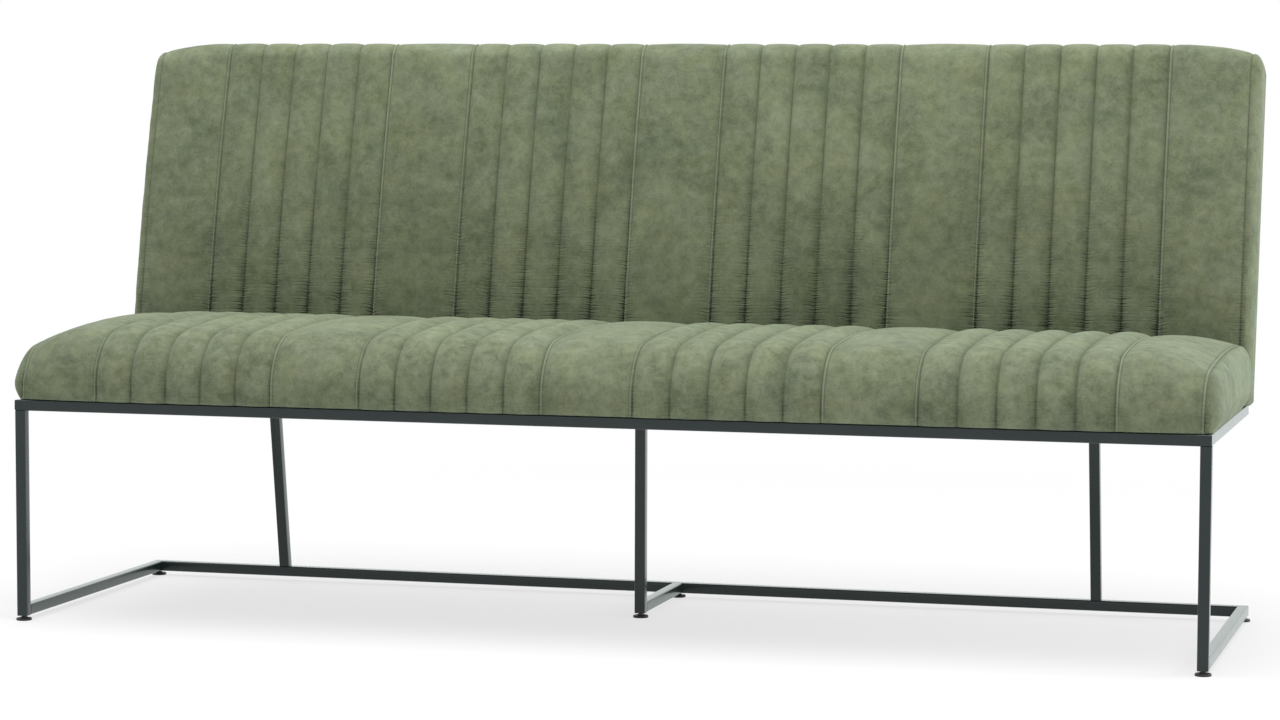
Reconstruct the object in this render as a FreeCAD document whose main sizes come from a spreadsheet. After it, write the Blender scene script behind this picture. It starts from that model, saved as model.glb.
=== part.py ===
import FreeCAD, Part
import math
import os
import re

# A dining banquette: a quilted seat and a leaning quilted back on a frame of square steel tube.
# +X runs to the sitter's left as seen from the front, +Y to the back and +Z up, in millimetres.
# The origin is on the floor, under the middle of the whole piece.

DIMENSIONS = {
    # Steel frame, measured over its outside faces; a share is a part of the frame's width
    "frame_width": 1988,
    "frame_depth": 591,
    "seat_frame_depth": 538,
    "rail_top": 372,
    "tube_size": 18,
    "tube_wall": 1.5,
    "centre_leg_setback": 325,
    "upright_share": 0.742,
    # Levelling feet
    "foot_height": 8,
    "pad_radius": 13,
    "pad_height": 4,
    "pad_bevel": 1.2,
    "socket_depth": 2.2,
    "stud_radius": 4,
    "stud_length": 20,
    "stud_fit": 0.15,
    "collar_radius": 6.5,
    "collar_height": 1.8,
    "collar_gap": 0.1,
    "plug_height": 20,
    "plug_fit": 0.05,
    "rivet_nut_radius": 5.5,
    "rivet_nut_height": 12,
    # Tabs welded inside the rails, and the wood screws that hold the seat to them
    "tab_size": 30,
    "tab_thickness": 3,
    "tab_share": 0.25,
    "screw_radius": 2.5,
    "screw_length": 32,
    "screw_head_radius": 5,
    "screw_head_height": 3,
    "screw_fit": 0.1,
    # Steel posts that carry the back, and the bolts through them
    "post_share": 0.327,
    "post_setback": 55.4,
    "post_width": 30,
    "post_thickness": 6,
    "post_height": 380,
    "post_clearance": 1,
    "lower_bolt_height": 120,
    "upper_bolt_height": 320,
    "bolt_radius": 3,
    "bolt_fit": 0.1,
    "bolt_head_radius": 5.5,
    "bolt_head_height": 4,
    # Timber seat base, its webbing and its dust cover
    "dust_cover_thickness": 1,
    "batten_height": 44,
    "batten_width": 50,
    "batten_share": 0.245,
    "webbing_width": 50,
    "webbing_thickness": 2,
    "seat_strap_share": 0.066,
    "edge_foam": 15,
    # Quilting shared by the seat and the back
    "side_overhang": 6,
    "side_panel_depth": 18,
    "seat_panel_depth": 25,
    "narrow_channel": 61.5,
    "narrow_crown": 8,
    "wide_crown": 4,
    "cover_thickness": 2.7,
    "foam_gap": 0.3,
    # Seat upholstery along its seams
    "cover_lift": 2,
    "front_overhang": 1,
    "seat_edge_height": 398,
    "seat_edge_radius": 89,
    "seat_rise_angle": 6,
    "seat_rear_height": 481,
    "seat_end_draw": 5,
    "seat_end_drop": 15,
    "seat_end_radius": 80,
    "seat_end_rear_height": 474,
    "seat_back_gap": 1,
    # Back upholstery along its seams, upright before it leans
    "back_lean": 12.6,
    "back_height": 617.5,
    "back_thickness": 100,
    "back_crown_angle": 4,
    "back_front_radius": 30,
    "back_rear_radius": 20,
    "top_crown_share": 0.25,
    "least_edge_radius": 4,
    "back_end_draw": 6,
    "back_end_drop": 12.5,
    "rear_cover_thickness": 2.7,
    # Timber frame of the back
    "stile_width": 40,
    "timber_face": 38,
    "timber_foot": 27,
    "back_strap_share": 0.095,
}

CHANNEL_GROUPS = 4
CHANNELS_PER_GROUP = 5
TAB_COLUMNS = 4
SEAT_STRAPS = 14
BACK_STRAPS = 10

doc = FreeCAD.newDocument("Banquette")
sheet = doc.addObject("Spreadsheet::Sheet", "Sizes")


def add_size(row, alias, number):
    """Write one named size into the sheet."""
    sheet.set(f"A{row}", alias)
    sheet.set(f"B{row}", str(number))
    sheet.setAlias(f"B{row}", alias)


for row, (alias, number) in enumerate(DIMENSIONS.items(), start=1):
    add_size(row, alias, number)
doc.recompute()


def size(alias):
    """Read one named size back from the sheet."""
    return float(sheet.get(alias))


nodes = []


def node(thing):
    """Count a finished piece among those that are written out."""
    nodes.append(thing)
    return thing


# Upholstery outlines. Both are drawn in planes of constant X, from their sewn seams outwards by a bulge.

def outline(x, start, *moves):
    """Closed wire in the plane at x, with a line to each point and an arc through each pair of points."""
    at = [FreeCAD.Vector(x, *start)]
    edges = []
    for move in moves:
        if isinstance(move[0], tuple):
            via, end = [FreeCAD.Vector(x, *point) for point in move]
            edges.append(Part.Arc(at[-1], via, end).toShape())
        else:
            end = FreeCAD.Vector(x, *move)
            edges.append(Part.LineSegment(at[-1], end).toShape())
        at.append(end)
    edges.append(Part.LineSegment(at[-1], at[0]).toShape())
    return Part.Wire(edges)


def on_circle(centre, radius, degrees):
    """Point of a circle at an angle counted from straight back towards straight up."""
    turn = math.radians(degrees)
    return (centre[0] + radius * math.cos(turn), centre[1] + radius * math.sin(turn))


def tangent_arc(start, end, slope_degrees):
    """Arc from start to end that leaves start at a slope: its middle point and its end point."""
    across, up = end[0] - start[0], end[1] - start[1]
    turn = math.radians(slope_degrees) - math.atan2(up, across)
    rise = math.tan(turn / 2) / 2
    middle = ((start[0] + end[0]) / 2 - up * rise, (start[1] + end[1]) / 2 + across * rise)
    return middle, end


def between(main, at_end, share):
    """Value part of the way from the run of the upholstery to its end seam."""
    return main + (at_end - main) * share


lean = math.radians(size("back_lean"))
rail_top = size("rail_top")
upholstery_foot = rail_top + size("cover_lift")
face_from_front = size("seat_frame_depth") - size("tube_size") / 2 - size("post_setback")
crown = size("narrow_crown")


def leaning(front_y, n, h):
    """Point of the back from its depth n behind the seams' plane and its height h along the lean."""
    y = front_y + face_from_front + n * math.cos(lean) + h * math.sin(lean)
    return (y, rail_top - n * math.sin(lean) + h * math.cos(lean))


def height_along_lean(n, z):
    """Height along the lean at which depth n reaches the level z."""
    return (z - rail_top + n * math.sin(lean)) / math.cos(lean)


back_rear_seam = size("back_height") - size("back_end_drop") - size("back_rear_radius")


def back_top(bulge, end):
    """Height of the back's top: a channel swells less there than in front, and an end draws in as much."""
    share = size("top_crown_share") if bulge > 0 else 1
    return size("back_height") - end * size("back_end_drop") + bulge * share


def back_front_moves(front_y, bulge, end, foot):
    """Start point and the moves up the front of the back and over its front edge."""
    radius = size("back_front_radius") + bulge
    front = end * size("back_end_draw") - bulge
    top = back_top(bulge, end)
    centre = (front + radius, top - radius)
    start = (front, height_along_lean(front, foot))
    edge = on_circle(centre, radius, 180 - size("back_crown_angle"))
    across, up = edge[0] - start[0], edge[1] - start[1]
    rise = math.tan((math.radians(size("back_crown_angle")) - math.atan2(across, up)) / 2) / 2
    swell = ((start[0] + edge[0]) / 2 - up * rise, (start[1] + edge[1]) / 2 + across * rise)
    corner = on_circle(centre, radius, 135 - size("back_crown_angle") / 2)
    ridge = (centre[0], top)
    place = lambda point: leaning(front_y, *point)
    return place(start), (place(swell), place(edge)), (place(corner), place(ridge))


def back_rear_moves(front_y, bulge, end):
    """Moves along the top of the back and round its rear edge to the rear seam."""
    top = back_top(bulge, end)
    rear = size("back_thickness") + min(bulge, 0)
    radius = max(size("back_rear_radius") + min(bulge, 0), size("least_edge_radius"))
    run, low = rear - radius, min(back_rear_seam, top - radius)
    ridge = (run, top)
    corner = (run + radius * math.sqrt(0.5), low + (top - low) * math.sqrt(0.5))
    seam = (rear, low)
    place = lambda point: leaning(front_y, *point)
    return place(ridge), (place(corner), place(seam))


def back_section(front_y, x, bulge, end=0, lift=0):
    """Whole outline of the back at x, out from its seams by a bulge, or drawn in if that is negative."""
    foot = upholstery_foot + lift
    rear = size("back_thickness") + min(bulge, 0)
    start, *front = back_front_moves(front_y, bulge, end, foot)
    rear_foot = leaning(front_y, rear, height_along_lean(rear, foot))
    return outline(x, start, *front, *back_rear_moves(front_y, bulge, end), rear_foot)


# The overall depth, from the seat's front channels to the rear edge of the back, is centred on the origin.
back_reach = back_section(0, 0, crown).optimalBoundingBox().YMax
front_y = (size("front_overhang") + crown - back_reach) / 2
add_size(len(DIMENSIONS) + 1, "front_y", round(front_y, 4))
doc.recompute()


def seat_rear(z, draw=0):
    """Rear face of the seat, which leans along with the back in front of its channels."""
    up = size("seat_rear_height") + crown - rail_top
    swell = 2 * math.tan(math.radians(size("back_crown_angle")) / 2) * up * (1 - up / size("back_height"))
    clear = (crown + swell + size("seat_back_gap")) / math.cos(lean)
    return front_y + face_from_front + (z - rail_top) * math.tan(lean) - clear - draw


def seat_moves(bulge, end, foot):
    """Start point and the moves up the front of the seat, over its edge and back along its crown."""
    radius = between(size("seat_edge_radius"), size("seat_end_radius"), end)
    front = front_y - size("front_overhang") + end * size("seat_end_draw")
    level = size("seat_edge_height") - end * size("seat_end_drop")
    rear_height = between(size("seat_rear_height"), size("seat_end_rear_height"), end) + bulge
    centre = (front + radius, level)
    edge = on_circle(centre, radius + bulge, 90 + size("seat_rise_angle"))
    corner = on_circle(centre, radius + bulge, 135 + size("seat_rise_angle") / 2)
    rear = (seat_rear(rear_height, max(-bulge, 0)), rear_height)
    crown_arc = tangent_arc(edge, rear, size("seat_rise_angle"))
    return (front - bulge, foot), (front - bulge, level), (corner, edge), crown_arc


def seat_section(x, bulge, end=0, lift=0):
    """Whole outline of the seat at x, out from its seams by a bulge, or drawn in if that is negative."""
    foot = upholstery_foot + lift
    start, *moves = seat_moves(bulge, end, foot)
    return outline(x, start, *moves, (seat_rear(foot, max(-bulge, 0)), foot))


# Quilting: panels between seams, each swelling from seam to seam.

upholstery_half = size("frame_width") / 2 + size("side_overhang")
seam_half = upholstery_half - size("side_panel_depth")
narrow_panels = CHANNEL_GROUPS * CHANNELS_PER_GROUP
wide_panel = (2 * upholstery_half - narrow_panels * size("narrow_channel")) / (CHANNEL_GROUPS + 1)


def panel_edges():
    """Left edge, right edge and crown of every panel, from the left end seam to the right one."""
    panels = []
    left = -seam_half
    right = wide_panel - upholstery_half
    for group in range(CHANNEL_GROUPS):
        panels.append((left, right, size("wide_crown")))
        for channel in range(CHANNELS_PER_GROUP):
            left, right = right, right + size("narrow_channel")
            panels.append((left, right, crown))
        left, right = right, right + wide_panel
    panels.append((left, seam_half, size("wide_crown")))
    return panels


def quilted(section):
    """One solid of all the panels, each lofted from seam through crown to seam."""
    panels = panel_edges()
    faces = []
    for left, right, swell in panels:
        left_end = 1 if left == panels[0][0] else 0
        right_end = 1 if right == panels[-1][1] else 0
        wires = [
            section(left, 0, left_end),
            section((left + right) / 2, swell, (left_end + right_end) / 4),
            section(right, 0, right_end),
        ]
        loft = Part.makeLoft(wires, True)
        faces += [face for face in loft.Faces if face.BoundBox.XLength > size("narrow_channel") / 2]
    faces.append(Part.Face(section(panels[0][0], 0, 1)))
    faces.append(Part.Face(section(panels[-1][1], 0, 1)))
    shell = Part.Shell(faces)
    shell.sewShape()
    return Part.Solid(shell)


def straight_run(section, half):
    """Plain solid inside the quilting, drawn in towards its two ends as the end panels are."""
    inner = seam_half - wide_panel + size("side_panel_depth")
    stations = [(-half, 1), (-inner, 0), (inner, 0), (half, 1)]
    return Part.makeLoft([section(x, end) for x, end in stations], True, True)


def end_panel(section, side, depth):
    """Boxed end panel: a pad that swells outwards from the end seam."""
    stations = [(0, 0, 0), (0.62, -0.28, 0.08), (1, -1.1, 0.2)]
    wires = [
        section(side * (seam_half + out * depth), draw * depth, 1, lift * depth)
        for out, draw, lift in stations
    ]
    return Part.makeLoft(wires, True)


def solid_piece(label, shape):
    """Piece whose shape is worked out here from the sheet's sizes."""
    thing = doc.addObject("Part::Feature", label)
    thing.Shape = shape
    thing.Placement = FreeCAD.Placement()
    return node(thing)


# Seat cover: one sewn skin, open below and at its ends

cover = size("cover_thickness")
foam_draw = cover + size("foam_gap")
batten_front = front_y - size("front_overhang") + size("seat_end_draw") + foam_draw + size("edge_foam")
base_foot = rail_top + size("dust_cover_thickness")
base_top = base_foot + size("batten_height")
seat_foam_foot = base_top + size("webbing_thickness") + size("foam_gap")


def seat_cavity(x, end):
    """Hollow of the seat cover, open downwards."""
    foot = rail_top - cover
    start, *moves = seat_moves(-cover, end, foot)
    return outline(x, start, *moves, (seat_rear(foot, cover), foot))


def seat_foam_section(x, end):
    """Foam that lies on the webbing and rolls down over the front batten."""
    foot = upholstery_foot
    start, *moves = seat_moves(-foam_draw, end, foot)
    front_edge = batten_front - size("foam_gap")
    rear_foot = (seat_rear(seat_foam_foot, foam_draw), seat_foam_foot)
    return outline(x, start, *moves, rear_foot, (front_edge, seat_foam_foot), (front_edge, foot))


foam_half = seam_half - size("foam_gap")
solid_piece("seat_cover", quilted(seat_section).cut(straight_run(seat_cavity, seam_half)))
solid_piece("seat_foam", straight_run(seat_foam_section, foam_half))
solid_piece("seat_end_panel_left", end_panel(seat_section, -1, size("seat_panel_depth")))
solid_piece("seat_end_panel_right", end_panel(seat_section, 1, size("seat_panel_depth")))


# Back cover: one sewn skin over the front and the top, open below, at its ends and behind

timber_top = back_rear_seam - size("foam_gap") * 10
timber_rear = size("back_thickness") - size("rear_cover_thickness")
back_foam_rear = size("timber_face") - size("webbing_thickness") - size("foam_gap")


def back_full(x, bulge, end=0, lift=0):
    """Outline of the whole back in its place."""
    return back_section(front_y, x, bulge, end, lift)


def back_cavity(x, end):
    """Hollow of the back cover, open downwards and to the rear below the rear seam."""
    foot = upholstery_foot - size("back_thickness")
    start, *front = back_front_moves(front_y, -cover, end, foot)
    behind = size("back_thickness") * 1.5
    rear_top = leaning(front_y, behind, back_rear_seam)
    rear_foot = leaning(front_y, behind, height_along_lean(behind, foot))
    return outline(x, start, *front, *back_rear_moves(front_y, -cover, end), rear_top, rear_foot)


def back_foam_section(x, end):
    """Foam in front of the webbing, with a lip over the top of the timber frame."""
    foot = upholstery_foot
    start, *front = back_front_moves(front_y, -foam_draw, end, foot)
    lip = timber_top + size("foam_gap")
    lip_rear = leaning(front_y, size("back_thickness") - foam_draw, lip)
    lip_front = leaning(front_y, back_foam_rear, lip)
    foot_rear = leaning(front_y, back_foam_rear, height_along_lean(back_foam_rear, foot))
    rear = back_rear_moves(front_y, -foam_draw, end)
    return outline(x, start, *front, *rear, lip_rear, lip_front, foot_rear)


solid_piece("back_cover", quilted(back_full).cut(straight_run(back_cavity, seam_half)))
solid_piece("back_foam", straight_run(back_foam_section, foam_half))
solid_piece("back_end_panel_left", end_panel(back_full, -1, size("side_panel_depth")))
solid_piece("back_end_panel_right", end_panel(back_full, 1, size("side_panel_depth")))


# Pieces of plain stock, with their sizes and places bound to the sheet

def in_sheet(expression):
    """Point each size named in an expression at its cell."""
    known = set(DIMENSIONS) | {"front_y"}
    return re.sub(r"[a-z_]+", lambda word: f"Sizes.{word[0]}" if word[0] in known else word[0], expression)


def bind(thing, **expressions):
    """Drive properties of a piece by expressions of the named sizes."""
    for name, expression in expressions.items():
        thing.setExpression(name, in_sheet(expression))


def put(thing, x, y, z, axis=(0, 0, 1), angle="0"):
    """Place a piece, turned by an angle about an axis."""
    thing.Placement = FreeCAD.Placement(FreeCAD.Vector(), FreeCAD.Rotation(FreeCAD.Vector(*axis), 1))
    thing.setExpression("Placement.Rotation.Angle", in_sheet(f"({angle}) * 1 deg"))
    for direction, expression in zip("xyz", (x, y, z)):
        thing.setExpression(f"Placement.Base.{direction}", in_sheet(expression))


def box(label, corner, extent):
    """Upright block from its lowest corner."""
    thing = doc.addObject("Part::Box", label)
    bind(thing, Length=extent[0], Width=extent[1], Height=extent[2])
    put(thing, *corner)
    return thing


def leaning_box(label, x, n, h, extent):
    """Block of the back's timber, from its place across, its depth n and its height h along the lean."""
    thing = doc.addObject("Part::Box", label)
    bind(thing, Length=extent[0], Width=extent[1], Height=extent[2])
    along, across = "sin(back_lean * 1 deg)", "cos(back_lean * 1 deg)"
    put(thing, x, f"{FACE} + ({n}) * {across} + ({h}) * {along}",
        f"rail_top - ({n}) * {along} + ({h}) * {across}", (1, 0, 0), "-back_lean")
    return thing


def rod(label, radius, length, place, along_x=False):
    """Round bar that stands on its centre, or runs along X from it."""
    thing = doc.addObject("Part::Cylinder", label)
    bind(thing, Radius=radius, Height=length)
    put(thing, *place, axis=(0, 1, 0), angle="90" if along_x else "0")
    return thing


def wedge(label, x_near, x_far, depth, z_near, z_far, place, axis=(0, 0, 1), angle="0"):
    """Block whose two end sections, at the near and the far side of its depth, can differ or be shifted."""
    thing = doc.addObject("Part::Wedge", label)
    bind(thing, Xmin=x_near[0], Xmax=x_near[1], X2min=x_far[0], X2max=x_far[1])
    bind(thing, Zmin=z_near[0], Zmax=z_near[1], Z2min=z_far[0], Z2max=z_far[1])
    bind(thing, Ymin=depth[0], Ymax=depth[1])
    put(thing, *place, axis=axis, angle=angle)
    return thing


def cut(label, base, *tools):
    """A piece with hollows taken out of it."""
    hollow = tools[0]
    if len(tools) > 1:
        hollow = doc.addObject("Part::MultiFuse", f"{label}_hollows")
        hollow.Shapes = list(tools)
    thing = doc.addObject("Part::Cut", label)
    thing.Base, thing.Tool = base, hollow
    return thing


def join(label, *pieces):
    """A piece made in one from several forms."""
    thing = doc.addObject("Part::MultiFuse", label)
    thing.Shapes = list(pieces)
    return thing


def group(label, pieces):
    """Identical pieces that are fitted together as one set."""
    thing = doc.addObject("Part::Compound", label)
    thing.Links = list(pieces)
    return node(thing)


FACE = "front_y + seat_frame_depth - tube_size / 2 - post_setback"
RAIL_FOOT = "rail_top - tube_size"
REAR_RAIL = "front_y + seat_frame_depth - tube_size"
REAR_RAIL_MIDDLE = "(front_y + seat_frame_depth - tube_size / 2)"
BASE_RAIL = "front_y + frame_depth - tube_size"
FULL = ("-frame_width / 2", "frame_width / 2")
SHORT = ("tube_size - frame_width / 2", "frame_width / 2 - tube_size")
BORE_SIDES = ("tube_wall", "tube_size - tube_wall")
SIDES = ("0", "tube_size")


def straight_tube(label, direction, corner, length):
    """Square tube with square ends that runs along one axis (0, 1 or 2) from its lowest corner."""
    extent = ["tube_size"] * 3
    bore_extent = ["tube_size - 2 * tube_wall"] * 3
    bore_corner = [f"{place} + tube_wall" for place in corner]
    extent[direction] = bore_extent[direction] = length
    bore_corner[direction] = corner[direction]
    outside = box(f"{label}_outside", corner, extent)
    return node(cut(label, outside, box(f"{label}_bore", bore_corner, bore_extent)))


def mitred_tube(label, near, far, place, angle="0", holes=()):
    """Square tube between mitred ends; near and far are the end stations of its two long sides."""
    share = "tube_wall / tube_size"
    bore_near = [f"({a}) + (({b}) - ({a})) * {share}" for a, b in zip(near, far)]
    bore_far = [f"({b}) + (({a}) - ({b})) * {share}" for a, b in zip(near, far)]
    outside = wedge(f"{label}_outside", near, far, SIDES, SIDES, SIDES, place, angle=angle)
    bore = wedge(f"{label}_bore", bore_near, bore_far, BORE_SIDES, BORE_SIDES, BORE_SIDES, place, angle=angle)
    return node(cut(label, outside, bore, *holes))


# Top frame: four mitred rails and one rail across the middle

SEAT_LONG = ("0", "seat_frame_depth")
SEAT_SHORT = ("tube_size", "seat_frame_depth - tube_size")
mitred_tube("front_top_rail", FULL, SHORT, ("0", "front_y", RAIL_FOOT))
mitred_tube("rear_top_rail", SHORT, FULL, ("0", REAR_RAIL, RAIL_FOOT))
mitred_tube("left_top_rail", SEAT_SHORT, SEAT_LONG,
            ("tube_size - frame_width / 2", "front_y", RAIL_FOOT), "90")
mitred_tube("right_top_rail", SEAT_LONG, SEAT_SHORT, ("frame_width / 2", "front_y", RAIL_FOOT), "90")
straight_tube("centre_top_rail", 1, ("-tube_size / 2", "front_y + tube_size", RAIL_FOOT),
              "seat_frame_depth - 2 * tube_size")

# Legs, from the feet to the underside of the top frame

LEG_LENGTH = "rail_top - tube_size - foot_height"
CENTRE_LEG = "front_y + centre_leg_setback"
straight_tube("front_left_leg", 2, ("-frame_width / 2", "front_y", "foot_height"), LEG_LENGTH)
straight_tube("front_right_leg", 2, ("frame_width / 2 - tube_size", "front_y", "foot_height"), LEG_LENGTH)
straight_tube("centre_leg", 2, ("-tube_size / 2", CENTRE_LEG, "foot_height"), LEG_LENGTH)

# Places of the feet: three under the legs, and three under the rear of the bottom frame

FRONT_FOOT_Y = "front_y + tube_size / 2"
REAR_FOOT_Y = "front_y + frame_depth - tube_size / 2"
LEG_FEET = {
    "front_left": ("(tube_size - frame_width) / 2", FRONT_FOOT_Y),
    "front_right": ("(frame_width - tube_size) / 2", FRONT_FOOT_Y),
    "centre": ("0", f"{CENTRE_LEG} + tube_size / 2"),
}
RAIL_FEET = {
    "rear_left": ("(tube_size - frame_width) / 2", REAR_FOOT_Y),
    "rear_right": ("(frame_width - tube_size) / 2", REAR_FOOT_Y),
    "rear_centre": ("0", REAR_FOOT_Y),
}

# Bottom frame: runners behind the legs and a rail across the rear, drilled for the rivet nuts of the feet


def nut_holes(tube, *feet):
    """Holes in the underside of one tube for the rivet nuts of the named feet."""
    radius = "rivet_nut_radius + plug_fit"
    return [
        rod(f"{tube}_{foot}_hole", radius, "tube_size / 2", (*RAIL_FEET[foot], "foot_height"))
        for foot in feet
    ]


RUNNER_LONG = ("tube_size", "frame_depth")
RUNNER_SHORT = ("tube_size", "frame_depth - tube_size")
mitred_tube("left_runner", RUNNER_SHORT, RUNNER_LONG,
            ("tube_size - frame_width / 2", "front_y", "foot_height"), "90",
            nut_holes("left_runner", "rear_left"))
mitred_tube("right_runner", RUNNER_LONG, RUNNER_SHORT,
            ("frame_width / 2", "front_y", "foot_height"), "90",
            nut_holes("right_runner", "rear_right"))
mitred_tube("rear_bottom_rail", SHORT, FULL, ("0", BASE_RAIL, "foot_height"),
            holes=nut_holes("rear_bottom_rail", *RAIL_FEET))
straight_tube("centre_runner", 1, ("-tube_size / 2", f"{CENTRE_LEG} + tube_size", "foot_height"),
              "frame_depth - centre_leg_setback - 2 * tube_size")

# Rear uprights, which lean forward from the bottom rail to the top rail

UPRIGHT_SPAN = ("foot_height + tube_size", RAIL_FOOT)
for label, side in (("left_upright", "-"), ("right_upright", "")):
    walls = []
    for part, thin in (("outside", "0"), ("bore", "tube_wall")):
        width = (f"{thin} - tube_size / 2", f"tube_size / 2 - {thin}")
        low = (f"{thin} - frame_depth", f"tube_size - frame_depth - {thin}")
        high = (f"{thin} - seat_frame_depth", f"tube_size - seat_frame_depth - {thin}")
        place = (f"{side}frame_width * upright_share / 2", "front_y", "0")
        walls.append(wedge(f"{label}_{part}", width, width, UPRIGHT_SPAN, low, high, place, (1, 0, 0), "90"))
    node(cut(label, *walls))

# Levelling feet: a pad on the floor, a threaded stud that turns in it, and the thread in the frame

COLLAR_FOOT = "pad_height + collar_gap"
STUD_FOOT = "pad_height - socket_depth + collar_gap"
for name, place in {**LEG_FEET, **RAIL_FEET}.items():
    rim = rod(f"{name}_pad_rim", "pad_radius", "pad_height - pad_bevel", (*place, "0"))
    bevel = doc.addObject("Part::Cone", f"{name}_pad_bevel")
    bind(bevel, Radius1="pad_radius", Radius2="pad_radius - pad_bevel", Height="pad_bevel")
    put(bevel, *place, "pad_height - pad_bevel")
    socket = rod(f"{name}_pad_socket", "stud_radius + stud_fit", "socket_depth",
                 (*place, "pad_height - socket_depth"))
    node(cut(f"{name}_foot_pad", join(f"{name}_pad_body", rim, bevel), socket))
    shank = rod(f"{name}_stud_shank", "stud_radius", "stud_length", (*place, STUD_FOOT))
    collar = doc.addObject("Part::Prism", f"{name}_stud_collar")
    collar.Polygon = 6
    bind(collar, Circumradius="collar_radius", Height="collar_height")
    put(collar, *place, COLLAR_FOOT)
    node(join(f"{name}_foot_stud", shank, collar))

leg_plugs = []
for name, place in LEG_FEET.items():
    across = "(tube_size - 2 * tube_wall - 2 * plug_fit)"
    corner = (f"{place[0]} - {across} / 2", f"{place[1]} - {across} / 2", "foot_height")
    plug = box(f"{name}_plug_block", corner, (across, across, "plug_height"))
    thread = rod(f"{name}_plug_thread", "stud_radius + stud_fit", "plug_height", (*place, "foot_height"))
    leg_plugs.append(cut(f"{name}_plug", plug, thread))
group("leg_threaded_plugs", leg_plugs)

rivet_nuts = []
for name, place in RAIL_FEET.items():
    barrel = rod(f"{name}_nut_barrel", "rivet_nut_radius", "rivet_nut_height", (*place, "foot_height"))
    thread = rod(f"{name}_nut_thread", "stud_radius + stud_fit", "rivet_nut_height", (*place, "foot_height"))
    rivet_nuts.append(cut(f"{name}_nut", barrel, thread))
group("rail_rivet_nuts", rivet_nuts)

# Seat base sizes that its fixings share

SEAT_UP = "(seat_rear_height + narrow_crown - rail_top)"
SEAT_SWELL = f"2 * tan(back_crown_angle * 0.5 deg) * {SEAT_UP} * (1 - {SEAT_UP} / back_height)"
SEAT_CLEAR = f"(narrow_crown + {SEAT_SWELL} + seat_back_gap) / cos(back_lean * 1 deg)"
BASE_FOOT = "(rail_top + dust_cover_thickness)"
BASE_FRONT = "(front_y - front_overhang + seat_end_draw + cover_thickness + foam_gap + edge_foam)"
BASE_REAR = f"({FACE} - {SEAT_CLEAR} - cover_thickness - foam_gap)"
BASE_HALF = "(frame_width / 2 + side_overhang - side_panel_depth - foam_gap)"
BASE_DEPTH = f"({BASE_REAR} - {BASE_FRONT})"

# Seat fixings: tabs welded inside the front, side and centre rails, and the screws up through them

tab_places = []
for column in range(TAB_COLUMNS):
    x = f"({column} - {(TAB_COLUMNS - 1) / 2}) * frame_width * tab_share"
    tab_places.append((f"front_{column + 1}", x, "front_y + tube_size + tab_size / 2"))
REAR_TABS = {"side": "(frame_width - tab_size) / 2 - tube_size", "centre": "(tube_size + tab_size) / 2"}
for side, sign in (("left", "-1"), ("right", "1")):
    for rail, x in REAR_TABS.items():
        tab_places.append((f"rear_{side}_{rail}", f"{sign} * ({x})", f"{BASE_REAR} - batten_width / 2"))

tabs, screws = [], []
screw_holes = {"front": [], "rear": [], "dust": []}
for name, x, y in tab_places:
    corner = (f"{x} - tab_size / 2", f"{y} - tab_size / 2", "rail_top - tab_thickness")
    plate = box(f"{name}_tab_plate", corner, ("tab_size", "tab_size", "tab_thickness"))
    bearing = "rail_top - tab_thickness"
    hole = rod(f"{name}_tab_hole", "screw_radius + screw_fit", "tab_thickness", (x, y, bearing))
    tabs.append(cut(f"{name}_tab", plate, hole))
    head = rod(f"{name}_screw_head", "screw_head_radius", "screw_head_height",
               (x, y, f"{bearing} - screw_head_height"))
    shank = rod(f"{name}_screw_shank", "screw_radius", "screw_length", (x, y, bearing))
    screws.append(join(f"{name}_screw", head, shank))
    pilot = "screw_length - tab_thickness + screw_fit"
    row = name.split("_")[0]
    screw_holes[row].append(rod(f"{name}_pilot", "screw_radius + screw_fit", pilot, (x, y, "rail_top")))
    screw_holes["dust"].append(rod(f"{name}_dust_hole", "screw_radius + screw_fit", "dust_cover_thickness",
                                   (x, y, "rail_top")))
group("seat_fixing_tabs", tabs)
group("seat_screws", screws)

# Seat base: four battens as a ring, cross battens, webbing on top and a dust cover below

front_stock = box("front_batten_stock", (f"-{BASE_HALF}", BASE_FRONT, BASE_FOOT),
                  (f"2 * {BASE_HALF}", "batten_width", "batten_height"))
rear_stock = box("rear_batten_stock", (f"-{BASE_HALF}", f"{BASE_REAR} - batten_width", BASE_FOOT),
                 (f"2 * {BASE_HALF}", "batten_width", "batten_height"))
node(cut("seat_front_batten", front_stock, *screw_holes["front"]))
node(cut("seat_rear_batten", rear_stock, *screw_holes["rear"]))
CROSS = ("batten_width", f"{BASE_DEPTH} - 2 * batten_width", "batten_height")
CROSS_Y = f"{BASE_FRONT} + batten_width"
node(box("seat_left_batten", (f"-{BASE_HALF}", CROSS_Y, BASE_FOOT), CROSS))
node(box("seat_right_batten", (f"{BASE_HALF} - batten_width", CROSS_Y, BASE_FOOT), CROSS))
group("seat_cross_battens", [
    box(f"cross_batten_{place + 2}",
        (f"{place} * frame_width * batten_share - batten_width / 2", CROSS_Y, BASE_FOOT), CROSS)
    for place in (-1, 0, 1)
])
group("seat_webbing", [
    box(f"seat_strap_{strap + 1}",
        (f"({strap} - {(SEAT_STRAPS - 1) / 2}) * frame_width * seat_strap_share - webbing_width / 2",
         BASE_FRONT, f"{BASE_FOOT} + batten_height"),
        ("webbing_width", BASE_DEPTH, "webbing_thickness"))
    for strap in range(SEAT_STRAPS)
])
dust_sheet = box("dust_sheet", (f"-{BASE_HALF}", BASE_FRONT, "rail_top"),
                 (f"2 * {BASE_HALF}", BASE_DEPTH, "dust_cover_thickness"))
node(cut("seat_dust_cover", dust_sheet, *screw_holes["dust"]))

# Back posts: flat bars welded on the rear rail, each bolted to the stile beside it

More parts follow.
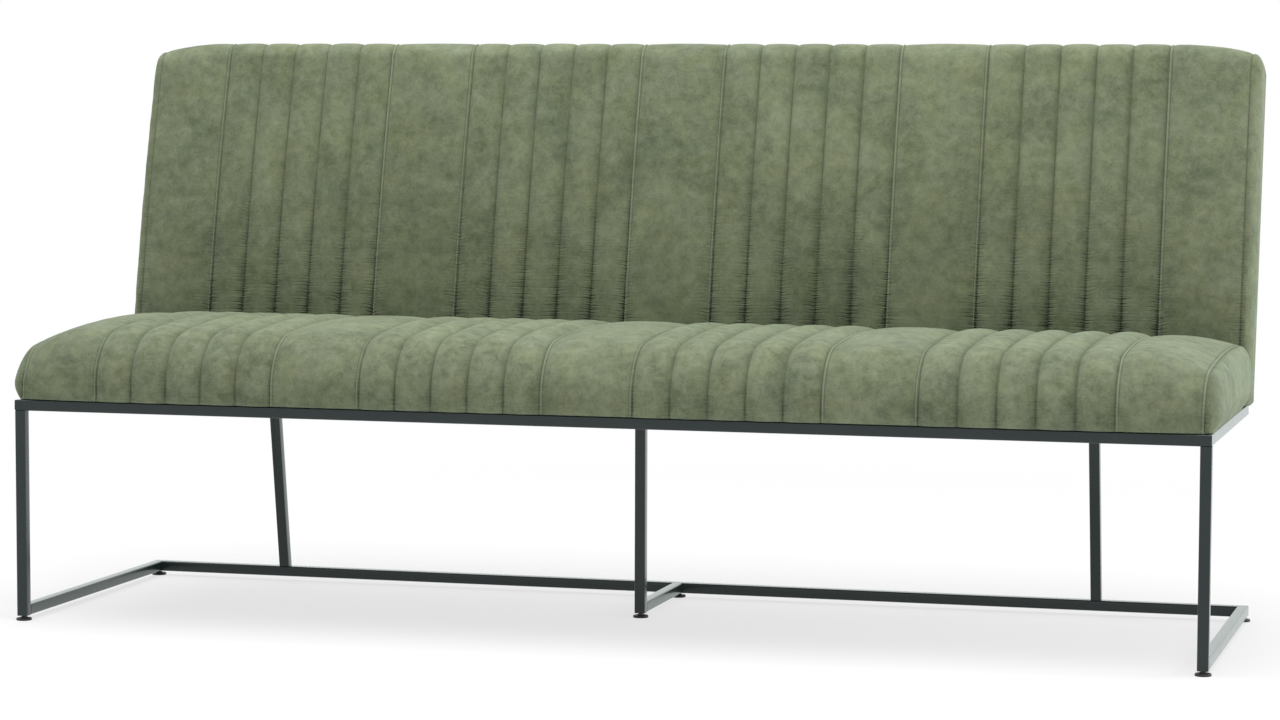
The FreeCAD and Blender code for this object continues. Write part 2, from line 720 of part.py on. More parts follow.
POSTS = {"left": "-frame_width * post_share", "centre": "0", "right": "frame_width * post_share"}
TAN_LEAN = "tan(back_lean * 1 deg)"
BOLT_HEIGHTS = {"lower": "lower_bolt_height", "upper": "upper_bolt_height"}
TIMBER_DEPTH = "back_thickness - rear_cover_thickness - timber_face"
TIMBER_TOP = "(back_height - back_end_drop - back_rear_radius - foam_gap * 10)"
STILE_LENGTH = f"{TIMBER_TOP} - timber_foot - 2 * stile_width"
bolts, bolt_nuts, post_slots = [], [], []
for name, x in POSTS.items():
    bar_x = ("0", "post_thickness")
    rail_y = "(seat_frame_depth - tube_size / 2)"
    low = (f"-{rail_y} - post_width / 2", f"post_width / 2 - {rail_y}")
    high = (f"{low[0]} - post_height * {TAN_LEAN}", f"{low[1]} - post_height * {TAN_LEAN}")
    span = ("rail_top", "rail_top + post_height")
    bar = wedge(f"{name}_post_bar", bar_x, bar_x, span, low, high, (x, "front_y", "0"), (1, 0, 0), "90")
    stile_stock = leaning_box(f"{name}_stile_stock", f"{x} - stile_width", "timber_face",
                              "timber_foot + stile_width", ("stile_width", TIMBER_DEPTH, STILE_LENGTH))
    grip = "post_thickness + stile_width"
    post_holes, stile_holes = [], []
    for level, height in BOLT_HEIGHTS.items():
        bolt_y = f"{REAR_RAIL_MIDDLE} + {height} * {TAN_LEAN}"
        bolt_z = f"rail_top + {height}"
        bolt = f"{name}_{level}"
        far = f"{x} - stile_width"
        post_holes.append(rod(f"{bolt}_post_hole", "bolt_radius + bolt_fit", "post_thickness",
                              (x, bolt_y, bolt_z), True))
        stile_holes.append(rod(f"{bolt}_stile_hole", "bolt_radius + bolt_fit", "stile_width",
                               (far, bolt_y, bolt_z), True))
        head = rod(f"{bolt}_bolt_head", "bolt_head_radius", "bolt_head_height",
                   (f"{x} + post_thickness", bolt_y, bolt_z), True)
        shank = rod(f"{bolt}_bolt_shank", "bolt_radius", f"{grip} + bolt_head_height",
                    (f"{far} - bolt_head_height", bolt_y, bolt_z), True)
        bolts.append(join(f"{bolt}_bolt", head, shank))
        nut = rod(f"{bolt}_nut_body", "bolt_head_radius", "bolt_head_height",
                  (f"{far} - bolt_head_height", bolt_y, bolt_z), True)
        nut_bore = rod(f"{bolt}_nut_bore", "bolt_radius + bolt_fit", "bolt_head_height",
                       (f"{far} - bolt_head_height", bolt_y, bolt_z), True)
        bolt_nuts.append(cut(f"{bolt}_bolt_nut", nut, nut_bore))
    node(cut(f"{name}_back_post", bar, *post_holes))
    node(cut(f"{name}_back_stile", stile_stock, *stile_holes))
    slot_depth = "post_setback * cos(back_lean * 1 deg) + post_width / 2 + post_clearance - timber_face"
    post_slots.append(leaning_box(f"{name}_post_slot", f"{x} - post_clearance", "timber_face", "timber_foot",
                                  ("post_thickness + 2 * post_clearance", slot_depth, "stile_width")))
group("back_bolts", bolts)
group("back_bolt_nuts", bolt_nuts)

# Back timber: end stiles, and top and bottom rails between them, the bottom one slotted for the posts

RAIL_SPAN = f"2 * ({BASE_HALF} - stile_width)"
END_LENGTH = f"{TIMBER_TOP} - timber_foot"
for label, x in (("back_left_stile", f"-{BASE_HALF}"), ("back_right_stile", f"{BASE_HALF} - stile_width")):
    node(leaning_box(label, x, "timber_face", "timber_foot", ("stile_width", TIMBER_DEPTH, END_LENGTH)))
rail_x = f"stile_width - {BASE_HALF}"
node(leaning_box("back_top_timber", rail_x, "timber_face", f"{TIMBER_TOP} - stile_width",
                 (RAIL_SPAN, TIMBER_DEPTH, "stile_width")))
bottom_stock = leaning_box("bottom_timber_stock", rail_x, "timber_face", "timber_foot",
                           (RAIL_SPAN, TIMBER_DEPTH, "stile_width"))
node(cut("back_bottom_timber", bottom_stock, *post_slots))
group("back_webbing", [
    leaning_box(f"back_strap_{strap + 1}",
                f"({strap} - {(BACK_STRAPS - 1) / 2}) * frame_width * back_strap_share - webbing_width / 2",
                "timber_face - webbing_thickness", "timber_foot",
                ("webbing_width", "webbing_thickness", END_LENGTH))
    for strap in range(BACK_STRAPS)
])
REAR_COVER_FOOT = "(cover_lift + back_thickness * sin(back_lean * 1 deg)) / cos(back_lean * 1 deg)"
node(leaning_box("back_rear_cover", f"-{BASE_HALF}", "back_thickness - rear_cover_thickness", REAR_COVER_FOOT,
                 (f"2 * {BASE_HALF}", "rear_cover_thickness",
                  f"back_height - back_end_drop - back_rear_radius - foam_gap - {REAR_COVER_FOOT}")))

doc.recompute()

for thing in doc.Objects:
    if "Invalid" in thing.State or "Error" in thing.State:
        raise RuntimeError(f"{thing.Label} did not build: {thing.State}")
for thing in nodes:
    if thing.Shape.isNull() or not thing.Shape.isValid():
        raise RuntimeError(f"{thing.Label} has no valid shape")

os.makedirs("parts", exist_ok=True)
for thing in nodes:
    thing.Shape.exportStep(f"parts/{thing.Label}.step")
    print(f"{thing.Label}: {len(thing.Shape.Solids)} solid(s), {thing.Shape.Volume / 1000:.2f} cm3")
print(f"{len(nodes)} pieces")
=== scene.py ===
import bmesh
import bpy
import numpy as np
from mathutils import Matrix, Vector


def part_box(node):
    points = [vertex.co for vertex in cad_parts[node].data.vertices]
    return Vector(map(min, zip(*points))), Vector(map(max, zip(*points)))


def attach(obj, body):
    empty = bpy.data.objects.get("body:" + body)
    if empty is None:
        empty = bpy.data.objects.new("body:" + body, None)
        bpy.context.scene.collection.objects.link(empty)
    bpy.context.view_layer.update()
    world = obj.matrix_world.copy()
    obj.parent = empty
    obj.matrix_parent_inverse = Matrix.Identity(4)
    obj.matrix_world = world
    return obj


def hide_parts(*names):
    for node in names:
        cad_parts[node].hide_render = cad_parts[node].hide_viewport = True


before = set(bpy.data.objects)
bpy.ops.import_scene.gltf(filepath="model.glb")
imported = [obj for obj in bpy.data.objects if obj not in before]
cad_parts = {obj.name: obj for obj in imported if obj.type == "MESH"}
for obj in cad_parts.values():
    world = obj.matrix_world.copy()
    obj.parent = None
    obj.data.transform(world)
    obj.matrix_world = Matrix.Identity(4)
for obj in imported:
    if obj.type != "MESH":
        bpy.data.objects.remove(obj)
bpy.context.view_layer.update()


# Steel frame
# Lengths of square steel tube with rounded corners, mitred or butted, welded and ground smooth.
# The whole frame is powder coated in a satin black with a faint blue-green cast.

TUBE = 0.018
TUBE_WALL = 0.0015
TUBE_CORNER = 0.0022
CORNER_POINTS = 6
FOOT_HEIGHT = 0.008
COAT_IOR = 1.33
HALF_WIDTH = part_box("front_top_rail")[1][0]
FRONT_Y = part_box("front_top_rail")[0][1]
RAIL_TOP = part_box("front_top_rail")[1][2]


class Signal:
    """A value in a material's node tree. Arithmetic on it adds Math nodes."""

    def __init__(self, tree, socket=None):
        self.tree, self.socket = tree, socket

    def node(self, kind, settings=None, inputs=None, output=0):
        """A new node: its settings first, then the values or links of its sockets."""
        made = self.tree.nodes.new(kind)
        for name, value in (settings or {}).items():
            setattr(made, name, value)
        for name, value in (inputs or {}).items():
            if isinstance(value, Signal):
                self.tree.links.new(value.socket, made.inputs[name])
            else:
                made.inputs[name].default_value = value
        return Signal(self.tree, made.outputs[output] if made.outputs else None)

    def math(self, operation, *values):
        return self.node("ShaderNodeMath", {"operation": operation}, dict(enumerate(values)))

    def __add__(self, other):
        return self.math("ADD", self, other)

    def __mul__(self, other):
        return self.math("MULTIPLY", self, other)

    def __sub__(self, other):
        return self.math("SUBTRACT", self, other)

    def __rsub__(self, other):
        return self.math("SUBTRACT", other, self)

    __radd__, __rmul__ = __add__, __mul__

    def cosine(self):
        return self.math("COSINE", self)

    def larger(self, other):
        return self.math("MAXIMUM", self, other)

    def near(self, middle, rate):
        """1 at the middle, falling as the exponential of minus the rate times the distance."""
        return self.math("EXPONENT", self.math("ABSOLUTE", self - middle) * -rate)

    def between(self, low, high):
        """The value spread from low..high to 0..1 and held there."""
        ends = {"Value": self, "From Min": low, "From Max": high}
        return self.node("ShaderNodeMapRange", {"clamp": True}, ends)

    def tint(self, first, second):
        """Colour between two colours or colour signals, with this value as the share of the second.

        A colour Mix node has its share in socket 0, its colours in 6 and 7, its result in 2."""
        ends = [end if isinstance(end, Signal) else (*end, 1) for end in (first, second)]
        mixed = {0: self, 6: ends[0], 7: ends[1]}
        return self.node("ShaderNodeMix", {"data_type": "RGBA"}, mixed, 2)

    def noise(self, place, scale, detail=3, roughness=0.55, distortion=0):
        """Cloudy noise at a place, with this many features to the metre."""
        return self.node("ShaderNodeTexNoise", {}, {
            "Vector": place, "Scale": scale, "Detail": detail, "Roughness": roughness,
            "Distortion": distortion})

    def bands(self, place, direction, scale, **shape):
        """Soft bands at a place, across a direction."""
        inputs = {"Vector": place, "Scale": scale, **shape}
        return self.node("ShaderNodeTexWave", {"bands_direction": direction}, inputs, "Fac")

    def feeds(self, shader, name):
        self.tree.links.new(self.socket, shader.inputs[name])

    def bumps(self, shader, strength, distance):
        """This value as the height of a bump in the shader's surface."""
        inputs = {"Strength": strength, "Distance": distance, "Height": self}
        self.node("ShaderNodeBump", {}, inputs).feeds(shader, "Normal")


def coating(name, **constants):
    """A material with a Principled shader, its constant sockets set, and its Object coordinates."""
    material = bpy.data.materials.new(name)
    material.use_nodes = True
    shader = material.node_tree.nodes["Principled BSDF"]
    for socket, value in constants.items():
        shader.inputs[socket.replace("_", " ")].default_value = value
    start = Signal(material.node_tree)
    return material, shader, start, start.node("ShaderNodeTexCoord", output="Object")


def powder_coat():
    """Satin black: a fine orange peel in the bump, a slow drift in gloss and a little dust.

    A clear coat over it makes it shine more where it is seen aslant."""
    material, shader, start, place = coating(
        "satin_black_powder_coat", IOR=COAT_IOR, Coat_Weight=1.0, Coat_IOR=COAT_IOR,
        Coat_Roughness=0.22, Coat_Tint=(0.87, 1, 0.96, 1))
    deep, faded, dust = (0.007, 0.0135, 0.0145), (0.011, 0.0185, 0.0195), (0.05, 0.055, 0.055)
    drift = start.noise(place, 9, 4, 0.6)
    speck = start.noise(place, 420, 2, 0.6).between(0.62, 0.75)
    base = drift.between(0.3, 0.7).tint(deep, faded)
    (speck * 0.12).tint(base, dust).feeds(shader, "Base Color")
    (drift * 0.12 + 0.2).feeds(shader, "Roughness")
    start.noise(place, 700, 2, 0.5).bumps(shader, 0.12, 0.0004)
    return material


def dress(material, *nodes):
    """Solid pieces of the frame in a material."""
    for node in nodes:
        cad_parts[node].material_slots[0].material = material


def mesh_object(name, points, faces, merge, **values):
    """Object of points and four-sided faces, with each named value kept as a point attribute.

    Points nearer to each other than the merging distance become one, so poles close."""
    mesh = bpy.data.meshes.new(name)
    mesh.from_pydata(points.reshape(-1, 3).tolist(), [], faces.reshape(-1, 4).tolist())
    for label, value in values.items():
        layer = mesh.attributes.new(label, "FLOAT", "POINT")
        layer.data.foreach_set("value", np.ascontiguousarray(value, np.float32).ravel())
    tidy = bmesh.new()
    tidy.from_mesh(mesh)
    bmesh.ops.remove_doubles(tidy, verts=tidy.verts, dist=merge)
    bmesh.ops.dissolve_degenerate(tidy, edges=tidy.edges, dist=1e-8)
    bmesh.ops.recalc_face_normals(tidy, faces=tidy.faces)
    tidy.to_mesh(mesh)
    tidy.free()
    mesh.shade_smooth()
    piece = bpy.data.objects.new(name, mesh)
    bpy.context.scene.collection.objects.link(piece)
    return piece


def grid_faces(index):
    """Faces between the rows and columns of a grid of point numbers."""
    return np.stack([index[:-1, :-1], index[1:, :-1], index[1:, 1:], index[:-1, 1:]], -1)


def surface(name, points, closed=(False, False), sharp=40, **values):
    """Mesh object of a grid of points, joined along both directions and round where it is closed.

    Edges that turn by more than the sharp angle, in degrees, stay hard."""
    rows, columns = points.shape[:2]
    index = np.arange(rows * columns).reshape(rows, columns)
    if closed[0]:
        index = np.vstack([index, index[:1]])
    if closed[1]:
        index = np.hstack([index, index[:, :1]])
    piece = mesh_object(name, points, grid_faces(index), merge=1e-7, **values)
    piece.data.set_sharp_from_angle(angle=np.radians(sharp))
    return piece


def rounded_square(half, corner):
    """Offsets round a square with arcs for corners, anticlockwise."""
    quarter = np.arange(4) * np.pi / 2
    turn = quarter[:, None] + np.linspace(0, np.pi / 2, CORNER_POINTS)
    middle = quarter + np.pi / 4
    offset = (half - corner) * np.sqrt(2) * np.stack([np.cos(middle), np.sin(middle)], -1)
    arcs = offset[:, None] + corner * np.stack([np.cos(turn), np.sin(turn)], -1)
    return arcs.reshape(-1, 2)


def steel_tube(node, start, end, across, up, start_cut=None, end_cut=None):
    """Hollow tube: rounded squares carried along an axis, each end cut by the plane of a normal.

    A point p of the profile, counted from the end's centre, slides along the axis by
    -(p.n) / (axis.n)."""
    start, end = np.array(start, float), np.array(end, float)
    axis = (end - start) / np.linalg.norm(end - start)
    rings = []
    for inset in (0, TUBE_WALL):
        profile = rounded_square(TUBE / 2 - inset, TUBE_CORNER - inset)
        profile = profile @ np.array([across, up], float)
        ends = []
        for centre, cut in ((start, start_cut), (end, end_cut)):
            normal = np.array(axis if cut is None else cut, float)
            slide = profile @ normal / (axis @ normal)
            ends.append(centre + profile - slide[:, None] * axis)
        rings += ends if inset == 0 else ends[::-1]
    piece = surface(f"{node}_tube", np.array(rings), closed=(True, True))
    piece.data.materials.append(steel_coat)
    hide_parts(node)
    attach(piece, "frame")


steel_coat = powder_coat()
side_x = HALF_WIDTH - TUBE / 2
sides = (-side_x, side_x)
front_row = FRONT_Y + TUBE / 2
rear_top_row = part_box("rear_top_rail")[1][1] - TUBE / 2
rear_low_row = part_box("rear_bottom_rail")[1][1] - TUBE / 2
centre_leg_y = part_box("centre_leg")[0][1] + TUBE / 2
top_z, low_z = RAIL_TOP - TUBE / 2, FOOT_HEIGHT + TUBE / 2
X, Y, Z = np.eye(3)
RISING, FALLING = (1, -1, 0), (1, 1, 0)
left_front_top, right_front_top = ((x, front_row, top_z) for x in sides)
left_rear_top, right_rear_top = ((x, rear_top_row, top_z) for x in sides)
left_front_low, right_front_low = ((x, front_row + TUBE / 2, low_z) for x in sides)
left_rear_low, right_rear_low = ((x, rear_low_row, low_z) for x in sides)
steel_tube("front_top_rail", left_front_top, right_front_top, Y, Z, RISING, FALLING)
steel_tube("rear_top_rail", left_rear_top, right_rear_top, Y, Z, FALLING, RISING)
steel_tube("left_top_rail", left_front_top, left_rear_top, X, Z, RISING, FALLING)
steel_tube("right_top_rail", right_front_top, right_rear_top, X, Z, FALLING, RISING)
steel_tube("centre_top_rail", (0, front_row + TUBE / 2, top_z),
           (0, rear_top_row - TUBE / 2, top_z), X, Z)
for leg, x, y in (("front_left", -side_x, front_row), ("front_right", side_x, front_row),
                  ("centre", 0, centre_leg_y)):
    steel_tube(f"{leg}_leg", (x, y, FOOT_HEIGHT), (x, y, RAIL_TOP - TUBE), X, Y)
steel_tube("left_runner", left_front_low, left_rear_low, X, Z, None, FALLING)
steel_tube("right_runner", right_front_low, right_rear_low, X, Z, None, RISING)
steel_tube("rear_bottom_rail", left_rear_low, right_rear_low, Y, Z, FALLING, RISING)
steel_tube("centre_runner", (0, centre_leg_y + TUBE / 2, low_z),
           (0, rear_low_row - TUBE / 2, low_z), X, Z)
for upright in ("left_upright", "right_upright"):
    x = (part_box(upright)[0][0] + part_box(upright)[1][0]) / 2
    steel_tube(upright, (x, rear_low_row, FOOT_HEIGHT + TUBE),
               (x, rear_top_row, RAIL_TOP - TUBE), X, Y, Z, Z)

# Flat bars and tabs of the same steel, welded on the rails inside the back and under the seat.
dress(steel_coat, "left_back_post", "centre_back_post", "right_back_post", "seat_fixing_tabs")


# Levelling feet
# A black moulded pad turns on the foot of a black zinc-plated M8 stud with a spanner hexagon.
# The stud screws up into a plastic plug in each leg, or into a rivet nut in the rear bottom rail.

FEET = ("front_left", "front_right", "centre", "rear_left", "rear_right", "rear_centre")
ROUND_STEPS = 48
PAD_RADIUS = 0.013
PAD_HEIGHT = 0.004
PAD_RIM, PAD_CROWN = 0.0006, 0.0014
PAD_DISH = 0.0003
PAD_HOLLOW_RADIUS, PAD_TREAD = 0.006, 0.002
COLLAR_SEAT_RIM, COLLAR_SEAT, SOCKET_RIM = 0.0085, 0.0081, 0.0055
SOCKET_RADIUS, SOCKET_DEPTH = 0.00415, 0.0022
STUD_RADIUS = 0.004
THREAD_PITCH = 0.00125
THREAD_DEPTH = 0.0006
THREAD_STEPS = 6
THREAD_RUNOUT = 0.0008
HEXAGON = 0.0055
HEXAGON_CORNER, HEXAGON_END = 1.12, 0.99
COLLAR_CHAMFER = 0.0003
COLLAR_LOW, COLLAR_HIGH = PAD_HEIGHT + 0.0001, PAD_HEIGHT + 0.0019
NECK = 0.0006


def moulded_plastic():
    """Black plastic with a fine spark-eroded grain, worn a little paler in patches."""
    material, shader, start, place = coating("black_moulded_plastic", IOR=1.47)
    wear = start.noise(place, 90, 4, 0.6).between(0.45, 0.8)
    wear.tint((0.012, 0.012, 0.013), (0.03, 0.03, 0.031)).feeds(shader, "Base Color")
    (wear * 0.15 + 0.42).feeds(shader, "Roughness")
    start.noise(place, 2200, 2, 0.6).bumps(shader, 0.25, 0.0002)
    return material


def zinc_plate():
    """Zinc-plated steel with a black finish: dark metal, cloudy patches and fine scratches."""
    material, shader, start, place = coating("zinc_plated_steel", Metallic=1.0)
    cloud = start.noise(place, 160, 3, 0.6)
    clouded = cloud.between(0.3, 0.7).tint((0.050, 0.052, 0.054), (0.095, 0.094, 0.090))
    clouded.feeds(shader, "Base Color")
    (cloud * 0.25 + 0.22).feeds(shader, "Roughness")
    start.noise(place, 1500, 2, 0.5).bumps(shader, 0.08, 0.0002)
    return material


def turned(name, radius, height, centre):
    """Surface turned about an upright axis: a radius for each height and angle, 0 at a pole."""
    angle = np.linspace(0, 2 * np.pi, radius.shape[1], endpoint=False)
    x, y = centre[0] + radius * np.cos(angle), centre[1] + radius * np.sin(angle)
    points = np.stack([x, y, np.broadcast_to(height[:, None], radius.shape)], -1)
    return surface(name, points, closed=(False, True))


def pad_form():
    """Radius over height and angle round the pad: underside, softly rounded rim, top and socket."""
    lower, upper = np.linspace(-np.pi / 2, 0, 5), np.linspace(0, np.pi / 2, 7)
    seat, bottom = PAD_HEIGHT - PAD_DISH, PAD_HEIGHT - SOCKET_DEPTH
    steps = [
        (0, PAD_DISH), (PAD_HOLLOW_RADIUS, PAD_DISH), (PAD_RADIUS - PAD_TREAD, 0),
        *zip(PAD_RADIUS - PAD_RIM + PAD_RIM * np.cos(lower), PAD_RIM + PAD_RIM * np.sin(lower)),
        *zip(PAD_RADIUS - PAD_CROWN + PAD_CROWN * np.cos(upper),
             PAD_HEIGHT - PAD_CROWN + PAD_CROWN * np.sin(upper)),
        (COLLAR_SEAT_RIM, PAD_HEIGHT), (COLLAR_SEAT, seat), (SOCKET_RIM, seat),
        (SOCKET_RADIUS, seat), (SOCKET_RADIUS, bottom), (0, bottom)]
    radius, height = np.array(steps).T
    return np.repeat(radius[:, None], ROUND_STEPS, 1), height


def stud_form(foot, top):
    """Radius over height and angle: plain foot, hexagon with rounded corners, neck and thread.

    The right-handed thread's radius falls and rises once for each pitch climbed and turn made."""
    angle = np.linspace(0, 2 * np.pi, ROUND_STEPS, endpoint=False)
    flat = np.mod(angle, np.pi / 3) - np.pi / 6
    hexagon = np.minimum(HEXAGON / np.cos(flat), HEXAGON * HEXAGON_CORNER)
    chamfered = np.minimum(hexagon, HEXAGON * HEXAGON_END)
    point, plain = np.zeros_like(angle), np.full_like(angle, STUD_RADIUS)
    neck = plain - THREAD_DEPTH
    low, high = COLLAR_LOW, COLLAR_HIGH
    steps = [(foot, point), (foot, plain), (low, plain), (low, chamfered),
             (low + COLLAR_CHAMFER, hexagon), (high - COLLAR_CHAMFER, hexagon),
             (high, chamfered), (high, neck), (high + NECK, neck)]
    climb = np.arange(high + THREAD_RUNOUT, top - THREAD_RUNOUT, THREAD_PITCH / THREAD_STEPS)
    phase = np.mod(climb[:, None] / THREAD_PITCH - angle / (2 * np.pi), 1)
    thread = STUD_RADIUS - THREAD_DEPTH * np.abs(2 * phase - 1)
    heights, radii = zip(*steps)
    return np.vstack([*radii, thread, neck, point]), np.concatenate([heights, climb, [top, top]])


pad_plastic, plated = moulded_plastic(), zinc_plate()
for foot in FEET:
    low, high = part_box(f"{foot}_foot_pad")
    centre = ((low[0] + high[0]) / 2, (low[1] + high[1]) / 2)
    pad = turned(f"{foot}_pad", *pad_form(), centre)
    pad.data.materials.append(pad_plastic)
    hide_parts(f"{foot}_foot_pad")
    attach(pad, f"{foot}_pad")
    low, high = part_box(f"{foot}_foot_stud")
    stud = turned(f"{foot}_stud", *stud_form(low[2], high[2]), centre)
    stud.data.materials.append(plated)
    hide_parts(f"{foot}_foot_stud")
    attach(stud, f"{foot}_stud")
dress(pad_plastic, "leg_threaded_plugs")
dress(plated, "rail_rivet_nuts", "seat_screws", "back_bolts", "back_bolt_nuts")


# Timber, webbing and dust cloth of the seat and the back
# Planed pine battens and stiles, elastic webbing stapled across them and black dust cloth below.
# They are the solid pieces of the frame; only the dust cloth shows, from underneath.

TIMBER = ("seat_front_batten", "seat_rear_batten", "seat_left_batten", "seat_right_batten",
          "seat_cross_battens", "left_back_stile", "centre_back_stile", "right_back_stile",
          "back_left_stile", "back_right_stile", "back_top_timber", "back_bottom_timber")


def planed_pine():
    """Pine: grain lines stretched along the length, wavy rings and a few darker pores."""
    material, shader, start, place = coating("planed_pine", IOR=1.45)
    along = start.node("ShaderNodeMapping", {}, {"Vector": place, "Scale": (3, 40, 40)})
    ring = start.bands(along, "Z", 0.6, **{"Distortion": 5, "Detail": 3, "Detail Scale": 1.2})
    pore = start.noise(along, 9, 3, 0.7).between(0.55, 0.8)
    base = ring.tint((0.50, 0.33, 0.17), (0.66, 0.48, 0.28))
    (pore * 0.4).tint(base, (0.33, 0.2, 0.1)).feeds(shader, "Base Color")
    (ring * 0.12 + 0.55).feeds(shader, "Roughness")
    ring.bumps(shader, 0.2, 0.0006)
    return material


def woven(name, dark, pale, threads, roughness):
    """Plain weave: two crossed waves make over-and-under squares, with fuzz in the colour."""
    material, shader, start, place = coating(name, Roughness=roughness)
    warp, weft = (start.bands(place, direction, threads) for direction in "XY")
    cross = warp * weft + (1 - warp) * (1 - weft)
    fuzz = start.noise(place, 60, 4, 0.6)
    (cross * 0.6 + fuzz * 0.4).tint(dark, pale).feeds(shader, "Base Color")
    cross.bumps(shader, 0.4, 0.0006)
    return material


dress(planed_pine(), *TIMBER)
dress(woven("elastic_webbing", (0.012, 0.012, 0.013), (0.05, 0.05, 0.052), 150, 0.8),
      "seat_webbing", "back_webbing")
dress(woven("black_dust_cloth", (0.008, 0.008, 0.009), (0.022, 0.022, 0.023), 220, 0.95),
      "seat_dust_cover")


# Seat upholstery
# Green nubuck sewn to wadding in channels, drawn over the seat foam and rolled over its front edge.
# Narrow channels in fives alternate with wide plain panels, and boxed end panels close both ends.

NARROW_CHANNEL = 0.0615
NARROW_CROWN, WIDE_CROWN = 0.008, 0.004
NARROW_POWER, WIDE_POWER = 2.1, 2.8
WIDE_RUB = 0.6
CHANNEL_GROUPS = 4
CHANNELS_PER_GROUP = 5
STITCH_PITCH = 0.0042
STITCH_LINE, STITCH_REACH = 0.0049, 0.001
STITCH_HALF_LENGTH = 0.0016
STITCH_HEIGHT, STITCH_HALF_WIDTH, STITCH_LIFT = 0.00034, 0.00042, 0.00022
RIPPLE_PITCH = 0.0062
PUCKER_PITCH, PUCKER_BEND_PITCH, PUCKER_SWING_PITCH = 0.0135, 0.083, 0.21
GROOVE_DEPTH, GROOVE_WIDTH = 0.0018, 0.0026
PUCKER_DEPTH, PUCKER_WIDTH = 0.0009, 0.012
PUCKER_BEND, PUCKER_SWING = 2.2, 0.45
PANEL_SCATTER, PUCKER_SCATTER, SWING_SCATTER = 12.9898, 40, 1.7
CREASED_DRAW = 0.002
RIDGE_HEIGHT, RIDGE_LINE, RIDGE_WIDTH = 0.0017, 0.002, 0.0014
STITCH_DEPTH, STITCH_WIDTH = 0.0010, 0.0014
# Place of the painted highlight along the folded ridge, counted from the topstitched seam
HIGHLIGHT_LINE = 0.0024
END_TURN = np.radians(85)
END_DRAW = 1.1
COVER_GRID = {"narrow_steps": 12, "wide_steps": 24, "ease": 0.75, "end_steps": 9}
TRIAL_GRID = {"narrow_steps": 8, "wide_steps": 16, "ease": 0, "end_steps": 4}
TRIAL_FINENESS = 0.42
TRIAL_FRAMES = 20
SETTLING_LIMIT = 0.004
SETTLING_FADE = 0.004
SMOOTHING_PASSES = 4
CAP_SHARES = np.array([0, 0.2, 0.4, 0.6, 0.76, 0.88, 0.95])
COVER_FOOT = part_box("seat_cover")[0][2]
SEAM_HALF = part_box("seat_cover")[1][0]
BACK_END_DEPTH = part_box("back_end_panel_right")[1][0] - SEAM_HALF
SEAT_END_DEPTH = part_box("seat_end_panel_right")[1][0] - SEAM_HALF
BACK_LEAN = np.radians(12.6)
BACK_FACE_Y = rear_top_row - 0.0554
SEAT_FRONT_Y, SEAT_END_DRAW = FRONT_Y - 0.001, 0.005
SEAT_EDGE_RADIUS, SEAT_END_SHARPER = 0.089, 0.009
SEAT_EDGE_LEVEL, SEAT_END_DROP = 0.398, 0.015
SEAT_EDGE_END = 96
SEAT_END_SQUASH = 0.055
SEAT_REAR_LEVEL, SEAT_END_REAR_DROP = 0.481, 0.007
SEAT_REAR_CLEAR = 0.0155 / np.cos(BACK_LEAN)
SEAT_SINK = 0.0014
SEAT_HEM_SLACK, SEAT_HEM_DRAW, SEAT_HEM_TUCK = 0.003, 0.002, 0.007
SEAT_HEM_SHARE, SEAT_FACE_SHARE = 0.06, 0.5
SEAT_ROWS = (2, 4, 6, 50, 138, 22, 20)
SEAT_STAPLED_RUNS = (0, 5, 6)
SEAT_SHOWN_RUNS, SEAT_SHOWN_FADE = (1, 5), 30
SEAT_TUCK_HEIGHT, SEAT_TUCK_CLEAR = 0.032, 0.0005
SEAT_CAP_RISE = 0.004
# Below the crease level the seat's pull grows: it deepens the puckers and creases, and darkens the
# front towards its foot with painted shade
SEAT_CREASE_LEVEL, SEAT_CREASE_DEPTH = 0.43, 0.05
SEAT_PULL, SEAT_PULL_GROWTH, SEAT_PULL_RANGE = 0.22, 0.7, (0.15, 0.75)
SEAT_STITCHED = (0.012, 0.5)
DARK_GREEN, DARK_OLIVE = (0.105, 0.129, 0.0775), (0.109, 0.131, 0.070)
PALE_GREEN, PALE_OLIVE = (0.244, 0.279, 0.178), (0.252, 0.281, 0.162)
# Crowns worn paler by rubbing; the ridge's paler colour is a painted highlight
RUBBED_CROWN, RIDGE_HIGHLIGHT = (0.30, 0.33, 0.225), (0.36, 0.40, 0.28)
# Colour towards which all painted shade goes: seams, stitch holes, puckers, creases and lower down
SEAM_SHADE = (0.034, 0.044, 0.025)


